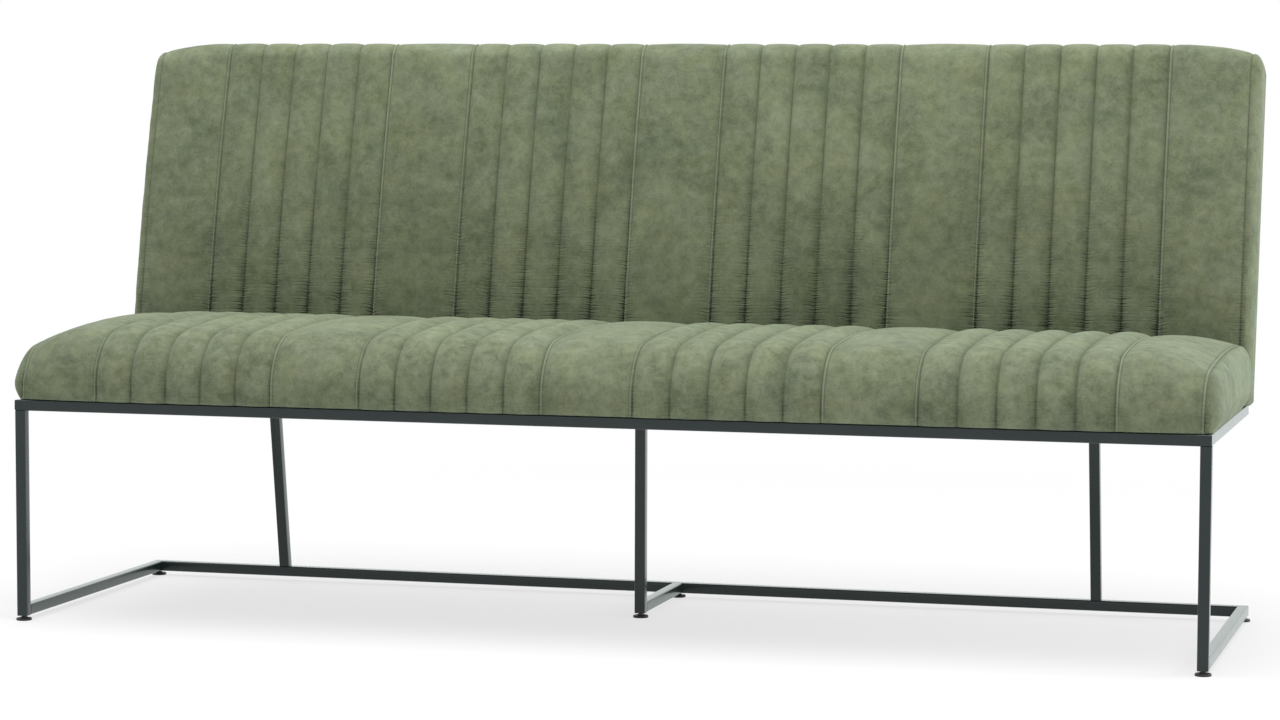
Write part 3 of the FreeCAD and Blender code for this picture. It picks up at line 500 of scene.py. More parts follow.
def nubuck():
    """Brushed green leather: clouds and blotches between dark and pale greens, and a velvety nap.

    Values kept on each cover place the rest: gap is the distance from the nearest seam, bound that
    from a topstitched seam beside a wide panel, along the distance along the seam, crown how much
    the channel is worn by rubbing and pull the strength of the creases and of a painted shade that
    darkens the cover lower down. Seams, stitch holes, puckers and creases are darkened with painted
    shade and the folded ridge is lit with a painted highlight; all fade as the exponential of minus
    the distance from them."""
    material, shader, start, place = coating(
        "green_nubuck", IOR=1.4, Sheen_Weight=0.25, Sheen_Roughness=0.45,
        Sheen_Tint=(0.80, 0.95, 0.84, 1), Specular_IOR_Level=0.25)
    crown, gap, bound, along, pull = (
        start.node("ShaderNodeAttribute", {"attribute_name": name}, output="Fac")
        for name in ("crown", "gap", "bound", "along", "pull"))
    cloud = start.noise(place, 8, 5, 0.6, 0.6)
    blotch = start.noise(place, 52, 5, 0.7, 0.25)
    nap = start.noise(place, 300, 3, 0.7)
    hue = start.noise(place, 17, 3, 0.6, 0.8).between(0.38, 0.66)
    shade = (cloud * 0.38 + blotch * 0.40 + nap * 0.22).between(0.37, 0.64)
    base = shade.tint(hue.tint(DARK_GREEN, DARK_OLIVE), hue.tint(PALE_GREEN, PALE_OLIVE))
    worn = (crown * 0.3 * blotch.between(0.4, 0.7)).tint(base, RUBBED_CROWN)
    wave = (along * (2 * np.pi / STITCH_PITCH)).cosine()
    # Thin dark line along each seam: painted shade in its crevice
    seam = gap.near(0, 900) * (0.3 + cloud.between(0.35, 0.62) * 0.7)
    # Stitch holes darkened with painted shade
    hole = bound.near(STITCH_LINE, 1100) * (0.35 + wave.between(0.2, -0.8) * 0.65)
    # Folded ridge beside a topstitched seam: a painted highlight in the colour, and a bump
    ridge = bound.near(HIGHLIGHT_LINE, 650)
    # Puckers along the seams: painted shade in their dimples, and a bump
    tuft = gap.near(0, 200) * wave.between(-0.6, 0.8) * pull
    across = start.node("ShaderNodeSeparateXYZ", {}, {"Vector": place})
    stretched = start.node("ShaderNodeCombineXYZ", {}, {"X": across * 45, "Y": along * 90})
    streak = start.noise(stretched, 1, 2, 0.6, 0.4).between(0.4, 0.62)
    bent = along * (2 * np.pi / RIPPLE_PITCH) + cloud * 16 + blotch * 2
    # Creases: painted shade in them, and a bump
    crease = bent.cosine().between(0, 1) * streak * gap.near(0, 85) * pull
    # Crowns worn paler, and a painted highlight along the ridge
    worn_and_highlit = (ridge * 0.5).tint(worn, RIDGE_HIGHLIGHT)
    # Painted shade: soft dark beside the seams, darker lower down with the pull, and in the puckers
    # and creases
    drawn = (gap.near(0, 120) * 0.13 + 0.15) * pull + tuft * 0.18 + crease * 0.38
    # Painted shade on the seam line, deeper beside the wide panels
    seam_line_shade = seam * (0.58 + bound.between(0.01, 0) * 0.3)
    # The painted shade, seam lines and stitch holes together, lifted where the ridge's painted
    # highlight lies
    dark = (drawn * (1 - ridge * 0.7) + seam_line_shade).larger(hole * 0.8)
    dark.between(0, 1).tint(worn_and_highlit, SEAM_SHADE).feeds(shader, "Base Color")
    (0.93 - blotch * 0.2).feeds(shader, "Roughness")
    grain = start.noise(place, 1100, 3, 0.7) * 0.16 + nap * 0.22 + blotch * 0.45
    relief = grain - tuft * 0.6 - crease - seam * 0.7 - hole * 0.8 + ridge * 0.5
    relief.bumps(shader, 0.9, 0.001)
    return material


def sewing_thread():
    """Green polyester thread, twisted: fine slanting bands in its colour and bump."""
    material, shader, start, place = coating("green_thread", Roughness=0.6, Sheen_Weight=0.2)
    twist = start.bands(place, "DIAGONAL", 900)
    twist.tint((0.075, 0.095, 0.055), (0.150, 0.178, 0.110)).feeds(shader, "Base Color")
    twist.bumps(shader, 0.3, 0.0002)
    return material


def is_narrow(panel):
    """Whether panels are narrow channels: a group of these follows each wide panel but the last."""
    return panel % (CHANNELS_PER_GROUP + 1) > 0


def panel_stations(narrow_steps, wide_steps, ease):
    """Stations across the panels between the end seams: x, panel number, its width, share in it.

    With ease the shares crowd towards the seams, as half a cosine wave does."""
    whole = 2 * (SEAM_HALF + BACK_END_DEPTH)
    channels = CHANNEL_GROUPS * CHANNELS_PER_GROUP
    wide = (whole - channels * NARROW_CHANNEL) / (CHANNEL_GROUPS + 1)
    group = [wide] + [NARROW_CHANNEL] * CHANNELS_PER_GROUP
    widths = np.array(group * CHANNEL_GROUPS + [wide])
    widths[[0, -1]] -= BACK_END_DEPTH
    left = np.cumsum(widths) - widths - SEAM_HALF
    steps = np.where(is_narrow(np.arange(len(widths))), narrow_steps, wide_steps)
    panel = np.append(np.repeat(np.arange(len(widths)), steps), len(widths) - 1)
    share = np.append(np.concatenate([np.arange(count) / count for count in steps]), 1.0)
    share = share + ease * (0.5 - 0.5 * np.cos(np.pi * share) - share)
    return left[panel] + share * widths[panel], panel, widths[panel], share


class Quilting:
    """Columns of a quilted cover: panels between the end seams, with a domed end panel beyond each.

    A column bulges from its seams by a crown times nearly a parabola, or draws in on an end panel
    as a quarter circle. Its end grows to 1 across the last wide panels."""

    def __init__(self, end_depth, narrow_steps, wide_steps, ease, end_steps, stitched_ends=True):
        x, panel, width, share = panel_stations(narrow_steps, wide_steps, ease)
        last, narrow = panel.max(), is_narrow(panel)
        form = 1 - np.abs(2 * share - 1) ** np.where(narrow, NARROW_POWER, WIDE_POWER)
        gap = np.minimum(share, 1 - share) * width
        outer = (panel == 0) & (share < 0.5) | (panel == last) & (share > 0.5)
        plain = narrow if stitched_ends else narrow | outer
        end = np.where(panel == 0, 1 - share, np.where(panel == last, share, 0)) ** 2
        turn = np.linspace(0, END_TURN, end_steps + 1)[1:]
        out, draw = np.sin(turn) * end_depth, (1 - np.cos(turn)) * end_depth * END_DRAW
        none, one = np.zeros_like(turn), np.ones_like(turn)

        def with_ends(low, middle, high):
            return np.concatenate([low[::-1], middle, high])

        self.x = with_ends(-SEAM_HALF - out, x, SEAM_HALF + out)
        self.bulge = with_ends(-draw, form * np.where(narrow, NARROW_CROWN, WIDE_CROWN), -draw)
        self.end = with_ends(one, end, one)
        self.number = with_ends(-one, panel, last + one)
        self.place = with_ends(-turn, panel + share, last + 1 + turn)
        self.gap = with_ends(out, gap, out)
        self.bound = with_ends(one, np.where(plain, 1, gap), one)
        self.crown = with_ends(none, np.where(narrow, form, form * WIDE_RUB), none)


def line(start, end, count):
    """Points from start towards end, without the end."""
    share = np.arange(count) / count
    return [a[:, None] + (b - a)[:, None] * share for a, b in zip(start, end)]


def on_oval(centre, radii, degrees):
    """The point of an oval at an angle, from its radii across and upwards."""
    angle = np.radians(degrees)
    return centre[0] + radii[0] * np.cos(angle), centre[1] + radii[1] * np.sin(angle)


def arc(centre, radii, first, last, count):
    """Points on an oval from one angle towards another, without the last."""
    degrees = first + (last - first) * np.arange(count) / count
    return on_oval(*([side[:, None] for side in pair] for pair in (centre, radii)), degrees)


def bowed(start, end, turn, count):
    """Arc from start towards end that swells to its left: its ends turn off the chord by an angle.

    A share q of the arc is reached by a chord of sin(q turn) / sin(turn), turned by the rest of
    the angle."""
    share = np.arange(count) / count
    reach = np.hypot(end[0] - start[0], end[1] - start[1])[:, None]
    chord = np.arctan2(end[1] - start[1], end[0] - start[0])[:, None]
    turn = turn[:, None]
    length = reach * np.sin(share * turn) / np.sin(turn)
    heading = chord + turn - share * turn
    return [start[0][:, None] + length * np.cos(heading),
            start[1][:, None] + length * np.sin(heading)]


def joined(*runs):
    """Runs of y and z joined end to end, with the place of each row: its run's number and share."""
    counts = [run[0].shape[1] for run in runs]
    rows = [number + np.arange(count) / count for number, count in enumerate(counts)]
    y, z = (np.concatenate([run[side] for run in runs], 1) for side in (0, 1))
    return [y, z, np.concatenate(rows)]


def run_counts(rows, fineness):
    """Rows of each run of an outline at a fineness, two at least."""
    return [max(2, round(count * fineness)) for count in rows]


def seat_outlines(columns, fineness):
    """Closed outline of the seat for each column: up the front, over its crown, down and back.

    The arc of the front edge is flattened on the end panels, and the crown is bowed."""
    bulge, end = columns.bulge, columns.end
    radius = SEAT_EDGE_RADIUS - SEAT_END_SHARPER * end
    front = SEAT_FRONT_Y + SEAT_END_DRAW * end
    level = SEAT_EDGE_LEVEL - SEAT_END_DROP * end
    foot = np.full_like(end, COVER_FOOT - SEAT_SINK)
    rise = np.where(bulge < 0, 2, 1) * bulge
    rear_height = SEAT_REAR_LEVEL - SEAT_END_REAR_DROP * end + rise

    def rear(z):
        face = BACK_FACE_Y + (z - RAIL_TOP) * np.tan(BACK_LEAN)
        return face - SEAT_REAR_CLEAR - np.maximum(-bulge, 0), z

    centre, reach = (front + radius, level), radius + bulge
    radii = (reach, reach * (1 + np.minimum(bulge, 0) / SEAT_END_SQUASH))
    edge = on_oval(centre, radii, SEAT_EDGE_END)
    back_edge = rear(rear_height)
    slope = np.arctan2(back_edge[1] - edge[1], back_edge[0] - edge[0])
    bow = np.radians(SEAT_EDGE_END - 90) - slope
    even = front - np.where(bulge < 0, bulge, 0.5 * bulge + SEAT_HEM_SLACK)
    tuck = (even + SEAT_HEM_TUCK, foot)
    hem = (even + SEAT_HEM_DRAW, foot + SEAT_HEM_SHARE * (level - foot))
    face = (front - bulge, foot + SEAT_FACE_SHARE * (level - foot))
    counts = run_counts(SEAT_ROWS, fineness)
    return joined(
        line(tuck, hem, counts[0]),
        line(hem, face, counts[1]),
        line(face, (front - bulge, level), counts[2]),
        arc(centre, radii, 180, SEAT_EDGE_END, counts[3]),
        bowed(edge, back_edge, bow, counts[4]),
        line(back_edge, rear(foot), counts[5]),
        line(rear(foot), tuck, counts[6]))


def grid_points(columns, outlines):
    """Points of a cover, columns by rows."""
    x = np.broadcast_to(columns.x[:, None], outlines[0].shape)
    return np.stack([x, *outlines[:2]], -1)


def capped(points, rise):
    """Grid closed at both ends: each end loop shrinks to its middle and swells by a parabola."""
    share = CAP_SHARES[:, None, None]
    caps = []
    for loop, side in ((points[0], -1), (points[-1], 1)):
        rings = loop.mean(0) + (loop - loop.mean(0)) * share
        rings[..., :1] += side * rise * (1 - share ** 2)
        caps.append(rings)
    return np.concatenate([caps[0], points, caps[1][::-1]])


def outward(points):
    """Unit normals of a grid whose rows close on themselves."""
    along = np.roll(points, -1, 1) - np.roll(points, 1, 1)
    normal = np.cross(np.gradient(points, axis=0), along)
    return normal / np.maximum(np.linalg.norm(normal, axis=-1, keepdims=True), 1e-12)


def run_length(points):
    """Distance along each column from its first row."""
    step = np.linalg.norm(np.diff(points, axis=1), axis=-1)
    return np.concatenate([np.zeros((len(points), 1)), np.cumsum(step, 1)], 1)


def blown_up(outlines, end_depth, stapled_runs, fine_columns, fine_rows):
    """How far each point of a cover moves when it settles over its filling.

    A coarser copy is a cloth with a little slack, held along its seams and where it is stapled,
    under an even pressure from inside. Its moves, no further than a limit, are spread over the
    fine grid, smoothed, and faded out towards the seams."""
    columns = Quilting(end_depth, **TRIAL_GRID)
    outline = outlines(columns, TRIAL_FINENESS)
    points = grid_points(columns, outline)
    held = (columns.gap < 1e-6)[:, None] | np.isin(np.floor(outline[2]), stapled_runs)
    held[[0, -1]] = True
    cloth = surface("cover_on_trial", points, closed=(False, True))
    cloth.vertex_groups.new(name="held").add(np.flatnonzero(held).tolist(), 1.0, "REPLACE")
    settling = cloth.modifiers.new("settling", "CLOTH")
    for name, value in {
            "vertex_group_mass": "held", "quality": 6, "mass": 0.002, "tension_stiffness": 20,
            "compression_stiffness": 20, "bending_stiffness": 0.3, "shrink_min": -0.007,
            "use_pressure": True, "uniform_pressure_force": 4}.items():
        setattr(settling.settings, name, value)
    settling.settings.effector_weights.gravity = 0
    settling.point_cache.frame_end = TRIAL_FRAMES
    for step in range(1, TRIAL_FRAMES + 1):
        bpy.context.scene.frame_set(step)
    settled = np.empty(points.size, np.float32)
    shaped = cloth.evaluated_get(bpy.context.evaluated_depsgraph_get())
    shaped.data.vertices.foreach_get("co", settled)
    bpy.context.scene.frame_set(1)
    bpy.data.meshes.remove(cloth.data)
    move = settled.reshape(points.shape) - points
    reach = np.linalg.norm(move, axis=-1, keepdims=True)
    move *= np.minimum(1, SETTLING_LIMIT / np.maximum(reach, 1e-9))
    turns = 1 + np.floor(outline[2].max())
    across = np.array([np.interp(fine_columns.place, columns.place, one)
                       for one in np.eye(len(columns.place))])
    down = np.array([np.interp(fine_rows, outline[2], one, period=turns)
                     for one in np.eye(len(outline[2]))])
    move = np.einsum("ca,crk,rb->abk", across, move, down, optimize=True)
    for _ in range(SMOOTHING_PASSES):
        move = (np.roll(move, 1, 1) + 2 * move + np.roll(move, -1, 1)) / 4
        move[1:-1] = (move[:-2] + 2 * move[1:-1] + move[2:]) / 4
    return move * (1 - np.exp(-fine_columns.gap / SETTLING_FADE))[:, None, None]


def tucked(points):
    """The seat with the feet of its end panels drawn in over the side rails, by a parabola."""
    share = 1 - (HALF_WIDTH - SEAT_TUCK_CLEAR - SEAM_HALF) / SEAT_END_DEPTH
    above = np.clip((points[..., 2] - COVER_FOOT) / SEAT_TUCK_HEIGHT, 0, 1)
    out = np.maximum(np.abs(points[..., 0]) - SEAM_HALF, 0)
    x = points[..., 0] - np.sign(points[..., 0]) * out * share * (1 - above) ** 2
    return np.concatenate([x[..., None], points[..., 1:]], -1)


def below(points, level, depth):
    """How far points lie below a level, as a share of a depth."""
    return (level - points[..., 2]) / depth


def showing(rows, first, last, fade=1):
    """1 on the rows that show, falling to 0 at the start of a first and of a last run."""
    return np.clip(rows - first, 0, 1) * np.clip((last - rows) * fade, 0, 1)


def bell(distance, place, width):
    """Bell curve of a distance for each column, 1 at the place."""
    return np.exp(-((distance - place) / width) ** 2)[:, None]


def sewn(points, columns, pull, shown):
    """The cover drawn in along its seams where it shows: a groove, loose puckers and a ridge.

    The puckers are a sine of the distance along the seam, bent by a slower sine, that fades within
    a finger's width. The ridge, where the nubuck is folded double, lies between the seam of a wide
    panel and the row of stitches beside it, which lies in a groove of its own."""
    along = 2 * np.pi * run_length(points)
    phase = np.sin(columns.number * PANEL_SCATTER)[:, None] * PUCKER_SCATTER
    bend = PUCKER_BEND * np.sin(along / PUCKER_BEND_PITCH + phase)
    wave = np.sin(along / PUCKER_PITCH + bend + phase)
    swing = np.sin(along / PUCKER_SWING_PITCH + phase * SWING_SCATTER)
    swing = 1 - PUCKER_SWING + PUCKER_SWING * swing
    groove = GROOVE_DEPTH * np.exp(-columns.gap / GROOVE_WIDTH)[:, None]
    pucker = PUCKER_DEPTH * pull * swing * (0.5 + 0.5 * wave) * bell(columns.gap, 0, PUCKER_WIDTH)
    ridge = RIDGE_HEIGHT * bell(columns.bound, RIDGE_LINE, RIDGE_WIDTH)
    stitch_groove = STITCH_DEPTH * bell(columns.bound, STITCH_LINE, STITCH_WIDTH)
    depth = groove + pucker - ridge + stitch_groove
    return points - outward(points) * (depth * shown)[..., None]


def kept(points, columns, pull):
    """Values of each point of a cover that its colour reads, carried on over the end caps."""
    plain = (columns.bulge > -CREASED_DRAW)[:, None]
    values = {"crown": columns.crown[:, None], "gap": columns.gap[:, None],
              "bound": columns.bound[:, None], "along": run_length(points), "pull": pull * plain}
    caps = ((len(CAP_SHARES),) * 2, (0, 0))
    return {name: np.pad(np.broadcast_to(value, points.shape[:2]), caps, "edge")
            for name, value in values.items()}


def stitched(name, points, columns, first, last):
    """Rows of stitches beside the bounding seams: short threads laid end to end.

    They run between two shares of the outline. Each thread is six points about an axis at four
    places along it, pointed at both ends and flattened a little."""
    turn = np.arange(6)[:, None] * np.pi / 3
    place, girth = np.array([-1, -0.6, 0.6, 1]), np.array([0, 1, 1, 0])
    lengths, normals = run_length(points), outward(points)

    def at(values, column, where):
        sides = [np.interp(where, lengths[column], side) for side in values[column].T]
        return np.stack(sides, -1)

    threads = []
    for column in np.flatnonzero(np.abs(columns.bound - STITCH_LINE) < STITCH_REACH):
        low, high = np.array([first, last]) * lengths[column, -1] / STITCH_PITCH
        middle = np.arange(np.ceil(low), np.floor(high)) * STITCH_PITCH
        axis = at(points, column, middle + STITCH_HALF_LENGTH)
        axis -= at(points, column, middle - STITCH_HALF_LENGTH)
        normal = at(normals, column, middle)
        side = np.cross(normal, axis)
        side /= np.linalg.norm(side, axis=-1, keepdims=True)
        around = np.cos(turn) * normal[:, None] * STITCH_HEIGHT
        around += np.sin(turn) * side[:, None] * STITCH_HALF_WIDTH
        centre = (at(points, column, middle) + normal * STITCH_LIFT)[:, None]
        centre = centre + axis[:, None] * place[:, None] / 2
        threads.append(centre[:, :, None] + girth[:, None, None] * around[:, None])
    threads = np.concatenate(threads)
    size = len(place) * len(turn)
    index = np.arange(size).reshape(len(place), len(turn))
    faces = grid_faces(np.hstack([index, index[:, :1]])).reshape(-1, 4)
    faces = faces + np.arange(len(threads))[:, None, None] * size
    return mesh_object(name, threads, faces, merge=1e-6)


green_nubuck, green_thread = nubuck(), sewing_thread()
seat_columns = Quilting(SEAT_END_DEPTH, **COVER_GRID)
seat_lines = seat_outlines(seat_columns, 1)
seat_rows = seat_lines[2]
seat_points = tucked(grid_points(seat_columns, seat_lines) + blown_up(
    seat_outlines, SEAT_END_DEPTH, SEAT_STAPLED_RUNS, seat_columns, seat_rows))
# The pull also paints shade on the seat's front, darker towards its foot
seat_pull = SEAT_PULL_GROWTH * below(seat_points, SEAT_CREASE_LEVEL, SEAT_CREASE_DEPTH)
seat_pull = np.clip(SEAT_PULL + seat_pull, *SEAT_PULL_RANGE)
seat_shown = showing(seat_rows, *SEAT_SHOWN_RUNS, SEAT_SHOWN_FADE)
seat_points = sewn(seat_points, seat_columns, seat_pull, seat_shown)
seat = surface("seat_upholstery", capped(seat_points, SEAT_CAP_RISE), closed=(False, True),
               sharp=180, **kept(seat_points, seat_columns, seat_pull))
seat.data.materials.append(green_nubuck)
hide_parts("seat_cover", "seat_end_panel_left", "seat_end_panel_right", "seat_foam")
seat_stitches = stitched("seat_topstitching", seat_points, seat_columns, *SEAT_STITCHED)
seat_stitches.data.materials.append(green_thread)
for piece in (seat, seat_stitches):
    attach(piece, "frame")


# Back upholstery
# The same quilted nubuck on the leaning back: up its front, over its top, down to a seam behind.
# Boxed end panels close its ends, and the foot of the cover tucks in above the rear rail.

BACK_HEIGHT, BACK_END_DROP = 0.6175, 0.0125
BACK_END_FALL, BACK_CROWN_RISE = 1.4, 0.25
BACK_THICKNESS = 0.1
BACK_END_LEAN = 0.006
BACK_TOP_RADIUS, BACK_REAR_RADIUS, BACK_LEAST_RADIUS = 0.030, 0.020, 0.004
BACK_EDGE_START = 176
BACK_HEM, BACK_HEM_TUCK = 0.006, 0.004
REAR_SEAM, REAR_SEAM_STEP, REAR_SEAM_DEPTH = 0.585, 0.004, 0.0022
BACK_ROWS = (3, 172, 18, 14, 12, 2, 16, 10)
BACK_STAPLED_RUNS = (0, 5, 6, 7)
BACK_SHOWN_RUNS = (0, 5)
BACK_RUB = 0.2
# The back's pull grows below the crease level and again below the foot level: it deepens the
# puckers and creases, and darkens the back towards the seat with painted shade
BACK_CREASE_LEVEL, BACK_CREASE_DEPTH = 0.80, 0.26
BACK_FOOT_LEVEL, BACK_FOOT_DEPTH = 0.555, 0.06
BACK_PULL_RANGE, BACK_END_CALM = (0.08, 1), 0.5
BACK_CAP_RISE = 0.003
BACK_STITCHED = (0.004, 0.53)


def leaning(n, h):
    """World y and z from a depth n behind the plane of the seams and a height h along the lean."""
    sin, cos = np.sin(BACK_LEAN), np.cos(BACK_LEAN)
    return BACK_FACE_Y + n * cos + h * sin, RAIL_TOP - n * sin + h * cos


def foot_at(n):
    """Height along the lean at which a depth n stands at the foot of the cover."""
    return (COVER_FOOT - RAIL_TOP + n * np.sin(BACK_LEAN)) / np.cos(BACK_LEAN)


def back_outlines(columns, fineness):
    """Closed outline of the back for each column: up the front, over the top, round the rear, down.

    The front is bowed. Below the seam behind, the cover steps in, under the rear cover."""
    bulge, end = columns.bulge, columns.end
    radius = BACK_TOP_RADIUS + bulge
    front = BACK_END_LEAN * end - bulge
    top = BACK_HEIGHT - BACK_END_DROP * end
    top = top + np.where(bulge < 0, BACK_END_FALL, BACK_CROWN_RISE) * bulge
    rear = BACK_THICKNESS + np.minimum(bulge, 0)
    wall = rear - np.where(bulge < 0, 0, REAR_SEAM_DEPTH)
    rounding = np.maximum(BACK_REAR_RADIUS + np.minimum(bulge, 0), BACK_LEAST_RADIUS)
    run, seam = rear - rounding, np.minimum(REAR_SEAM, top - rounding)
    centre = (front + radius, top - radius)
    edge = on_oval(centre, (radius, radius), BACK_EDGE_START)
    start = (front + BACK_HEM_TUCK, foot_at(front))
    first = (front, foot_at(front) + BACK_HEM)
    slope = np.arctan2(edge[0] - first[0], edge[1] - first[1])
    bow = np.radians(180 - BACK_EDGE_START) - slope
    counts = run_counts(BACK_ROWS, fineness)
    quarter = np.pi / 2 * np.arange(counts[4]) / counts[4]
    rear_edge = [run[:, None] + (rear - run)[:, None] * np.sin(quarter),
                 seam[:, None] + (top - seam)[:, None] * np.cos(quarter)]
    step = (wall, seam - REAR_SEAM_STEP)
    n, h, rows = joined(
        line(start, first, counts[0]),
        bowed(first, edge, bow, counts[1]),
        arc(centre, (radius, radius), BACK_EDGE_START, 90, counts[2]),
        line((centre[0], top), (run, top), counts[3]),
        rear_edge,
        line((rear, seam), step, counts[5]),
        line(step, (wall, foot_at(wall)), counts[6]),
        line((wall, foot_at(wall)), start, counts[7]))
    return [*leaning(n, h), rows]


back_columns = Quilting(BACK_END_DEPTH, **COVER_GRID, stitched_ends=False)
back_columns.crown *= BACK_RUB
back_lines = back_outlines(back_columns, 1)
back_rows = back_lines[2]
back_points = grid_points(back_columns, back_lines) + blown_up(
    back_outlines, BACK_END_DEPTH, BACK_STAPLED_RUNS, back_columns, back_rows)
# The pull paints shade on the back, darker towards the bottom
back_pull = below(back_points, BACK_CREASE_LEVEL, BACK_CREASE_DEPTH)
back_pull = np.clip(back_pull, *BACK_PULL_RANGE)
# Painted shade in the corner above the seat: the pull grows further towards the foot of the back
back_pull += np.clip(below(back_points, BACK_FOOT_LEVEL, BACK_FOOT_DEPTH), 0, 1)
back_pull *= (1 - BACK_END_CALM * back_columns.end)[:, None]
back_shown = showing(back_rows, *BACK_SHOWN_RUNS)
back_points = sewn(back_points, back_columns, back_pull, back_shown)
back = surface("back_upholstery", capped(back_points, BACK_CAP_RISE), closed=(False, True),
               sharp=180, **kept(back_points, back_columns, back_pull))
back.data.materials.append(green_nubuck)
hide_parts("back_cover", "back_end_panel_left", "back_end_panel_right", "back_foam")
back_stitches = stitched("back_topstitching", back_points, back_columns, *BACK_STITCHED)
back_stitches.data.materials.append(green_thread)
for piece in (back, back_stitches):
    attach(piece, "frame")


# Rear cover of the back
# One plain panel of the nubuck over thin wadding, pulled tight across the timber.
# It is blind-stitched to the quilted cover round its edge.

REAR_COVER_HALF = SEAM_HALF - 0.002
REAR_COVER_FOOT, REAR_COVER_TOP = 0.0262, 0.5825
REAR_COVER_DEPTH, REAR_COVER_SWELL = 0.0975, 0.0027
REAR_COVER_STEPS = (121, 61)
REAR_COVER_POWERS = (60, 22)
REAR_COVER_PULL, REAR_COVER_WAVES = 0.0004, 37


def rear_panel():
    """Flat pad: its outer face rises from its rim as the root of two curves that fall at the edges.

    Slack runs along its top and foot as a bent sine. With the points comes their distance from the
    rim, for the colour."""
    across, up = np.meshgrid(*(np.sin(np.linspace(-np.pi / 2, np.pi / 2, steps))
                               for steps in REAR_COVER_STEPS), indexing="ij")
    falls = [1 - np.abs(share) ** power for share, power in zip((across, up), REAR_COVER_POWERS)]
    swell = np.sqrt(np.clip(falls[0] * falls[1], 0, 1))
    pull = REAR_COVER_PULL * np.abs(up) ** 3 * np.sin(
        across * REAR_COVER_WAVES + 2 * np.sin(up * 3))
    half_height = (REAR_COVER_TOP - REAR_COVER_FOOT) / 2
    x, h = across * REAR_COVER_HALF, REAR_COVER_FOOT + half_height * (1 + up)
    outer, inner = (np.stack([x, *leaning(REAR_COVER_DEPTH + rise, h)], -1)
                    for rise in ((REAR_COVER_SWELL + pull) * swell, 0))
    rim = np.minimum((1 - np.abs(across)) * REAR_COVER_HALF, (1 - np.abs(up)) * half_height)
    return np.concatenate([outer, inner[::-1]]), np.concatenate([rim, rim[::-1]])


rear_points, rear_rim = rear_panel()
# The distance from the rim is kept as the seam gap, so the colour paints a thin line of shade round
# the rim
rear_cover = surface("back_rear_panel", rear_points, closed=(True, False), sharp=60,
                     gap=rear_rim, bound=rear_rim + 1)
rear_cover.data.materials.append(green_nubuck)
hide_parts("back_rear_cover")
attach(rear_cover, "frame")


# Floor, light and camera
# A plain white studio: a large soft box overhead, a smaller one at the right and pale surroundings.
# The camera stands where the photo was taken from, in front of the right end.

WHITE = (1, 1, 1, 1)
FLOOR_CORNERS = [(-40, -30, 0), (40, -30, 0), (40, 60, 0), (-40, 60, 0)]
FLOOR_GLOW, FLOOR_FADE = 0.7, (1.1, 2.6)
SKY_LIGHT = 0.4
CAMERA_PLACE = (1.6008, FRONT_Y - 5.4552, 0.9176)
CAMERA_YAW, CAMERA_PITCH, CAMERA_ROLL = -0.2702, 0.0798, -0.0031
FOCAL_PIXELS, IMAGE_WIDTH, SENSOR_WIDTH = 3576.97, 1280, 36


def seen_directly(start):
    """1 for rays from the camera, off gloss and through glass, 0 for the rays that light things."""
    camera, glossy, through = (
        start.node("ShaderNodeLightPath", output=f"Is {kind} Ray")
        for kind in ("Camera", "Glossy", "Transmission"))
    return (camera + glossy + through).between(0, 1)


def studio_floor():
    """White floor that keeps the shadow: most of it glows when seen directly, the rest is lit.

    The glowing share grows with the distance from the middle, so the floor runs out into white."""
    material = bpy.data.materials.new("studio_floor")
    material.use_nodes = True
    material.node_tree.nodes.clear()
    start = Signal(material.node_tree)
    place = start.node("ShaderNodeTexCoord", output="Object")
    length = start.node("ShaderNodeVectorMath", {"operation": "LENGTH"}, {0: place}, "Value")
    share = length.between(*FLOOR_FADE) * (1 - FLOOR_GLOW) + FLOOR_GLOW
    lit = start.node("ShaderNodeBsdfDiffuse", {}, {"Color": WHITE})
    glow = start.node("ShaderNodeEmission", {}, {"Color": WHITE, "Strength": 1.0})
    shaders = {0: seen_directly(start) * share, 1: lit, 2: glow}
    mixed = start.node("ShaderNodeMixShader", {}, shaders)
    start.node("ShaderNodeOutputMaterial", {}, {"Surface": mixed})
    return material


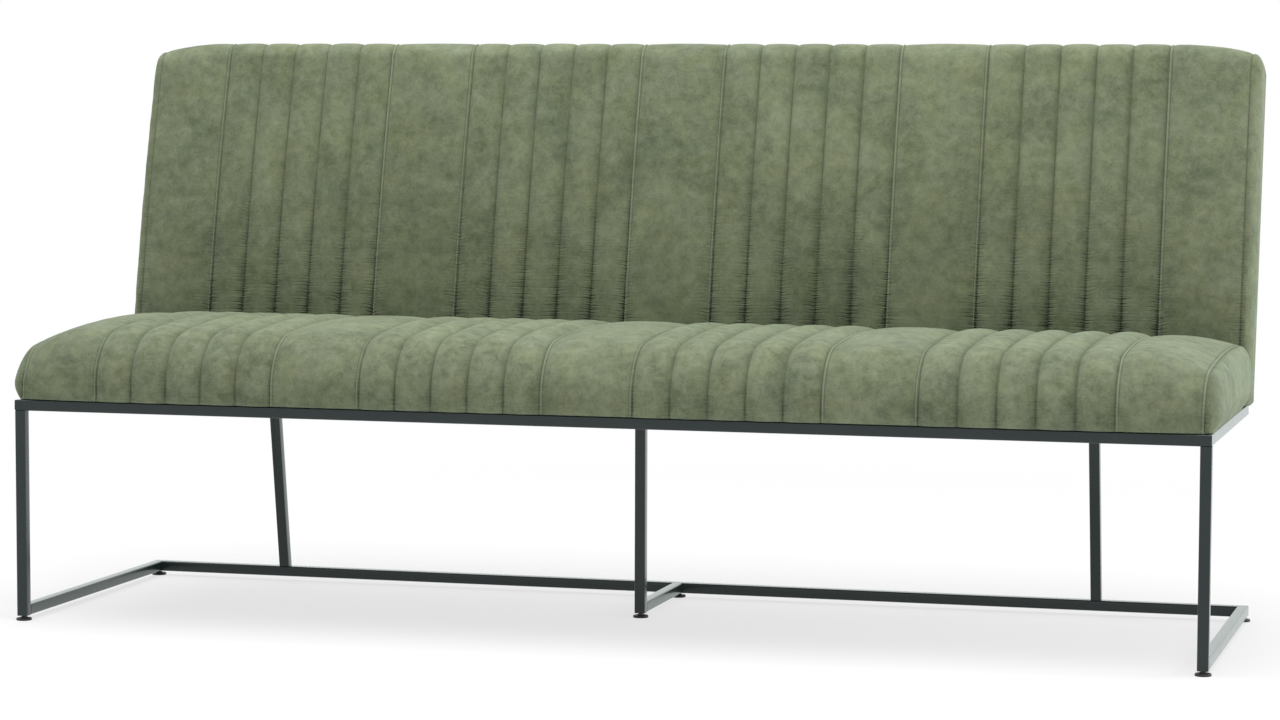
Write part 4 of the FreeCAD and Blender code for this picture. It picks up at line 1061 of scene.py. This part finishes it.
floor_mesh = bpy.data.meshes.new("floor")
floor_mesh.from_pydata(FLOOR_CORNERS, [], [(0, 1, 2, 3)])
floor_mesh.materials.append(studio_floor())
floor = bpy.data.objects.new("floor", floor_mesh)
bpy.context.scene.collection.objects.link(floor)

world = bpy.data.worlds.new("studio")
bpy.context.scene.world = world
world.use_nodes = True
world.node_tree.nodes.clear()
sky = Signal(world.node_tree)
strength = seen_directly(sky) * (1 - SKY_LIGHT) + SKY_LIGHT
glow = sky.node("ShaderNodeBackground", {}, {"Color": WHITE, "Strength": strength})
sky.node("ShaderNodeOutputWorld", {}, {"Surface": glow})


def soft_box(name, place, towards, size, watts):
    """Area lamp that looks from a place towards a point."""
    lamp = bpy.data.lights.new(name, "AREA")
    lamp.shape, lamp.size, lamp.size_y, lamp.energy = "RECTANGLE", *size, watts
    thing = bpy.data.objects.new(name, lamp)
    thing.location = place
    heading = Vector(towards) - Vector(place)
    thing.rotation_euler = heading.to_track_quat("-Z", "Y").to_euler()
    bpy.context.scene.collection.objects.link(thing)


soft_box("overhead_soft_box", (-0.3, -0.35, 3.4), (-0.2, -0.1, 0.4), (4.8, 2.4), 128)
soft_box("right_soft_box", (4.5, 0.9, 1.7), (0, 0.1, 0.5), (2.4, 2.4), 84)

level_right = np.array([np.cos(CAMERA_YAW), -np.sin(CAMERA_YAW), 0])
level_forward = np.array([np.sin(CAMERA_YAW), np.cos(CAMERA_YAW), 0])
forward = level_forward * np.cos(CAMERA_PITCH) - Z * np.sin(CAMERA_PITCH)
down = np.cross(forward, level_right)
right = level_right * np.cos(CAMERA_ROLL) + down * np.sin(CAMERA_ROLL)
up = np.cross(right, forward)
axes = Matrix(np.stack([right, up, -forward], 1).tolist()).to_4x4()
lens = bpy.data.cameras.new("photo_view")
lens.sensor_width = SENSOR_WIDTH
lens.lens = FOCAL_PIXELS / IMAGE_WIDTH * SENSOR_WIDTH
camera = bpy.data.objects.new("photo_view", lens)
camera.matrix_world = Matrix.Translation(CAMERA_PLACE) @ axes
bpy.context.scene.collection.objects.link(camera)
bpy.context.scene.camera = camera
bpy.context.scene.view_settings.view_transform = "Standard"
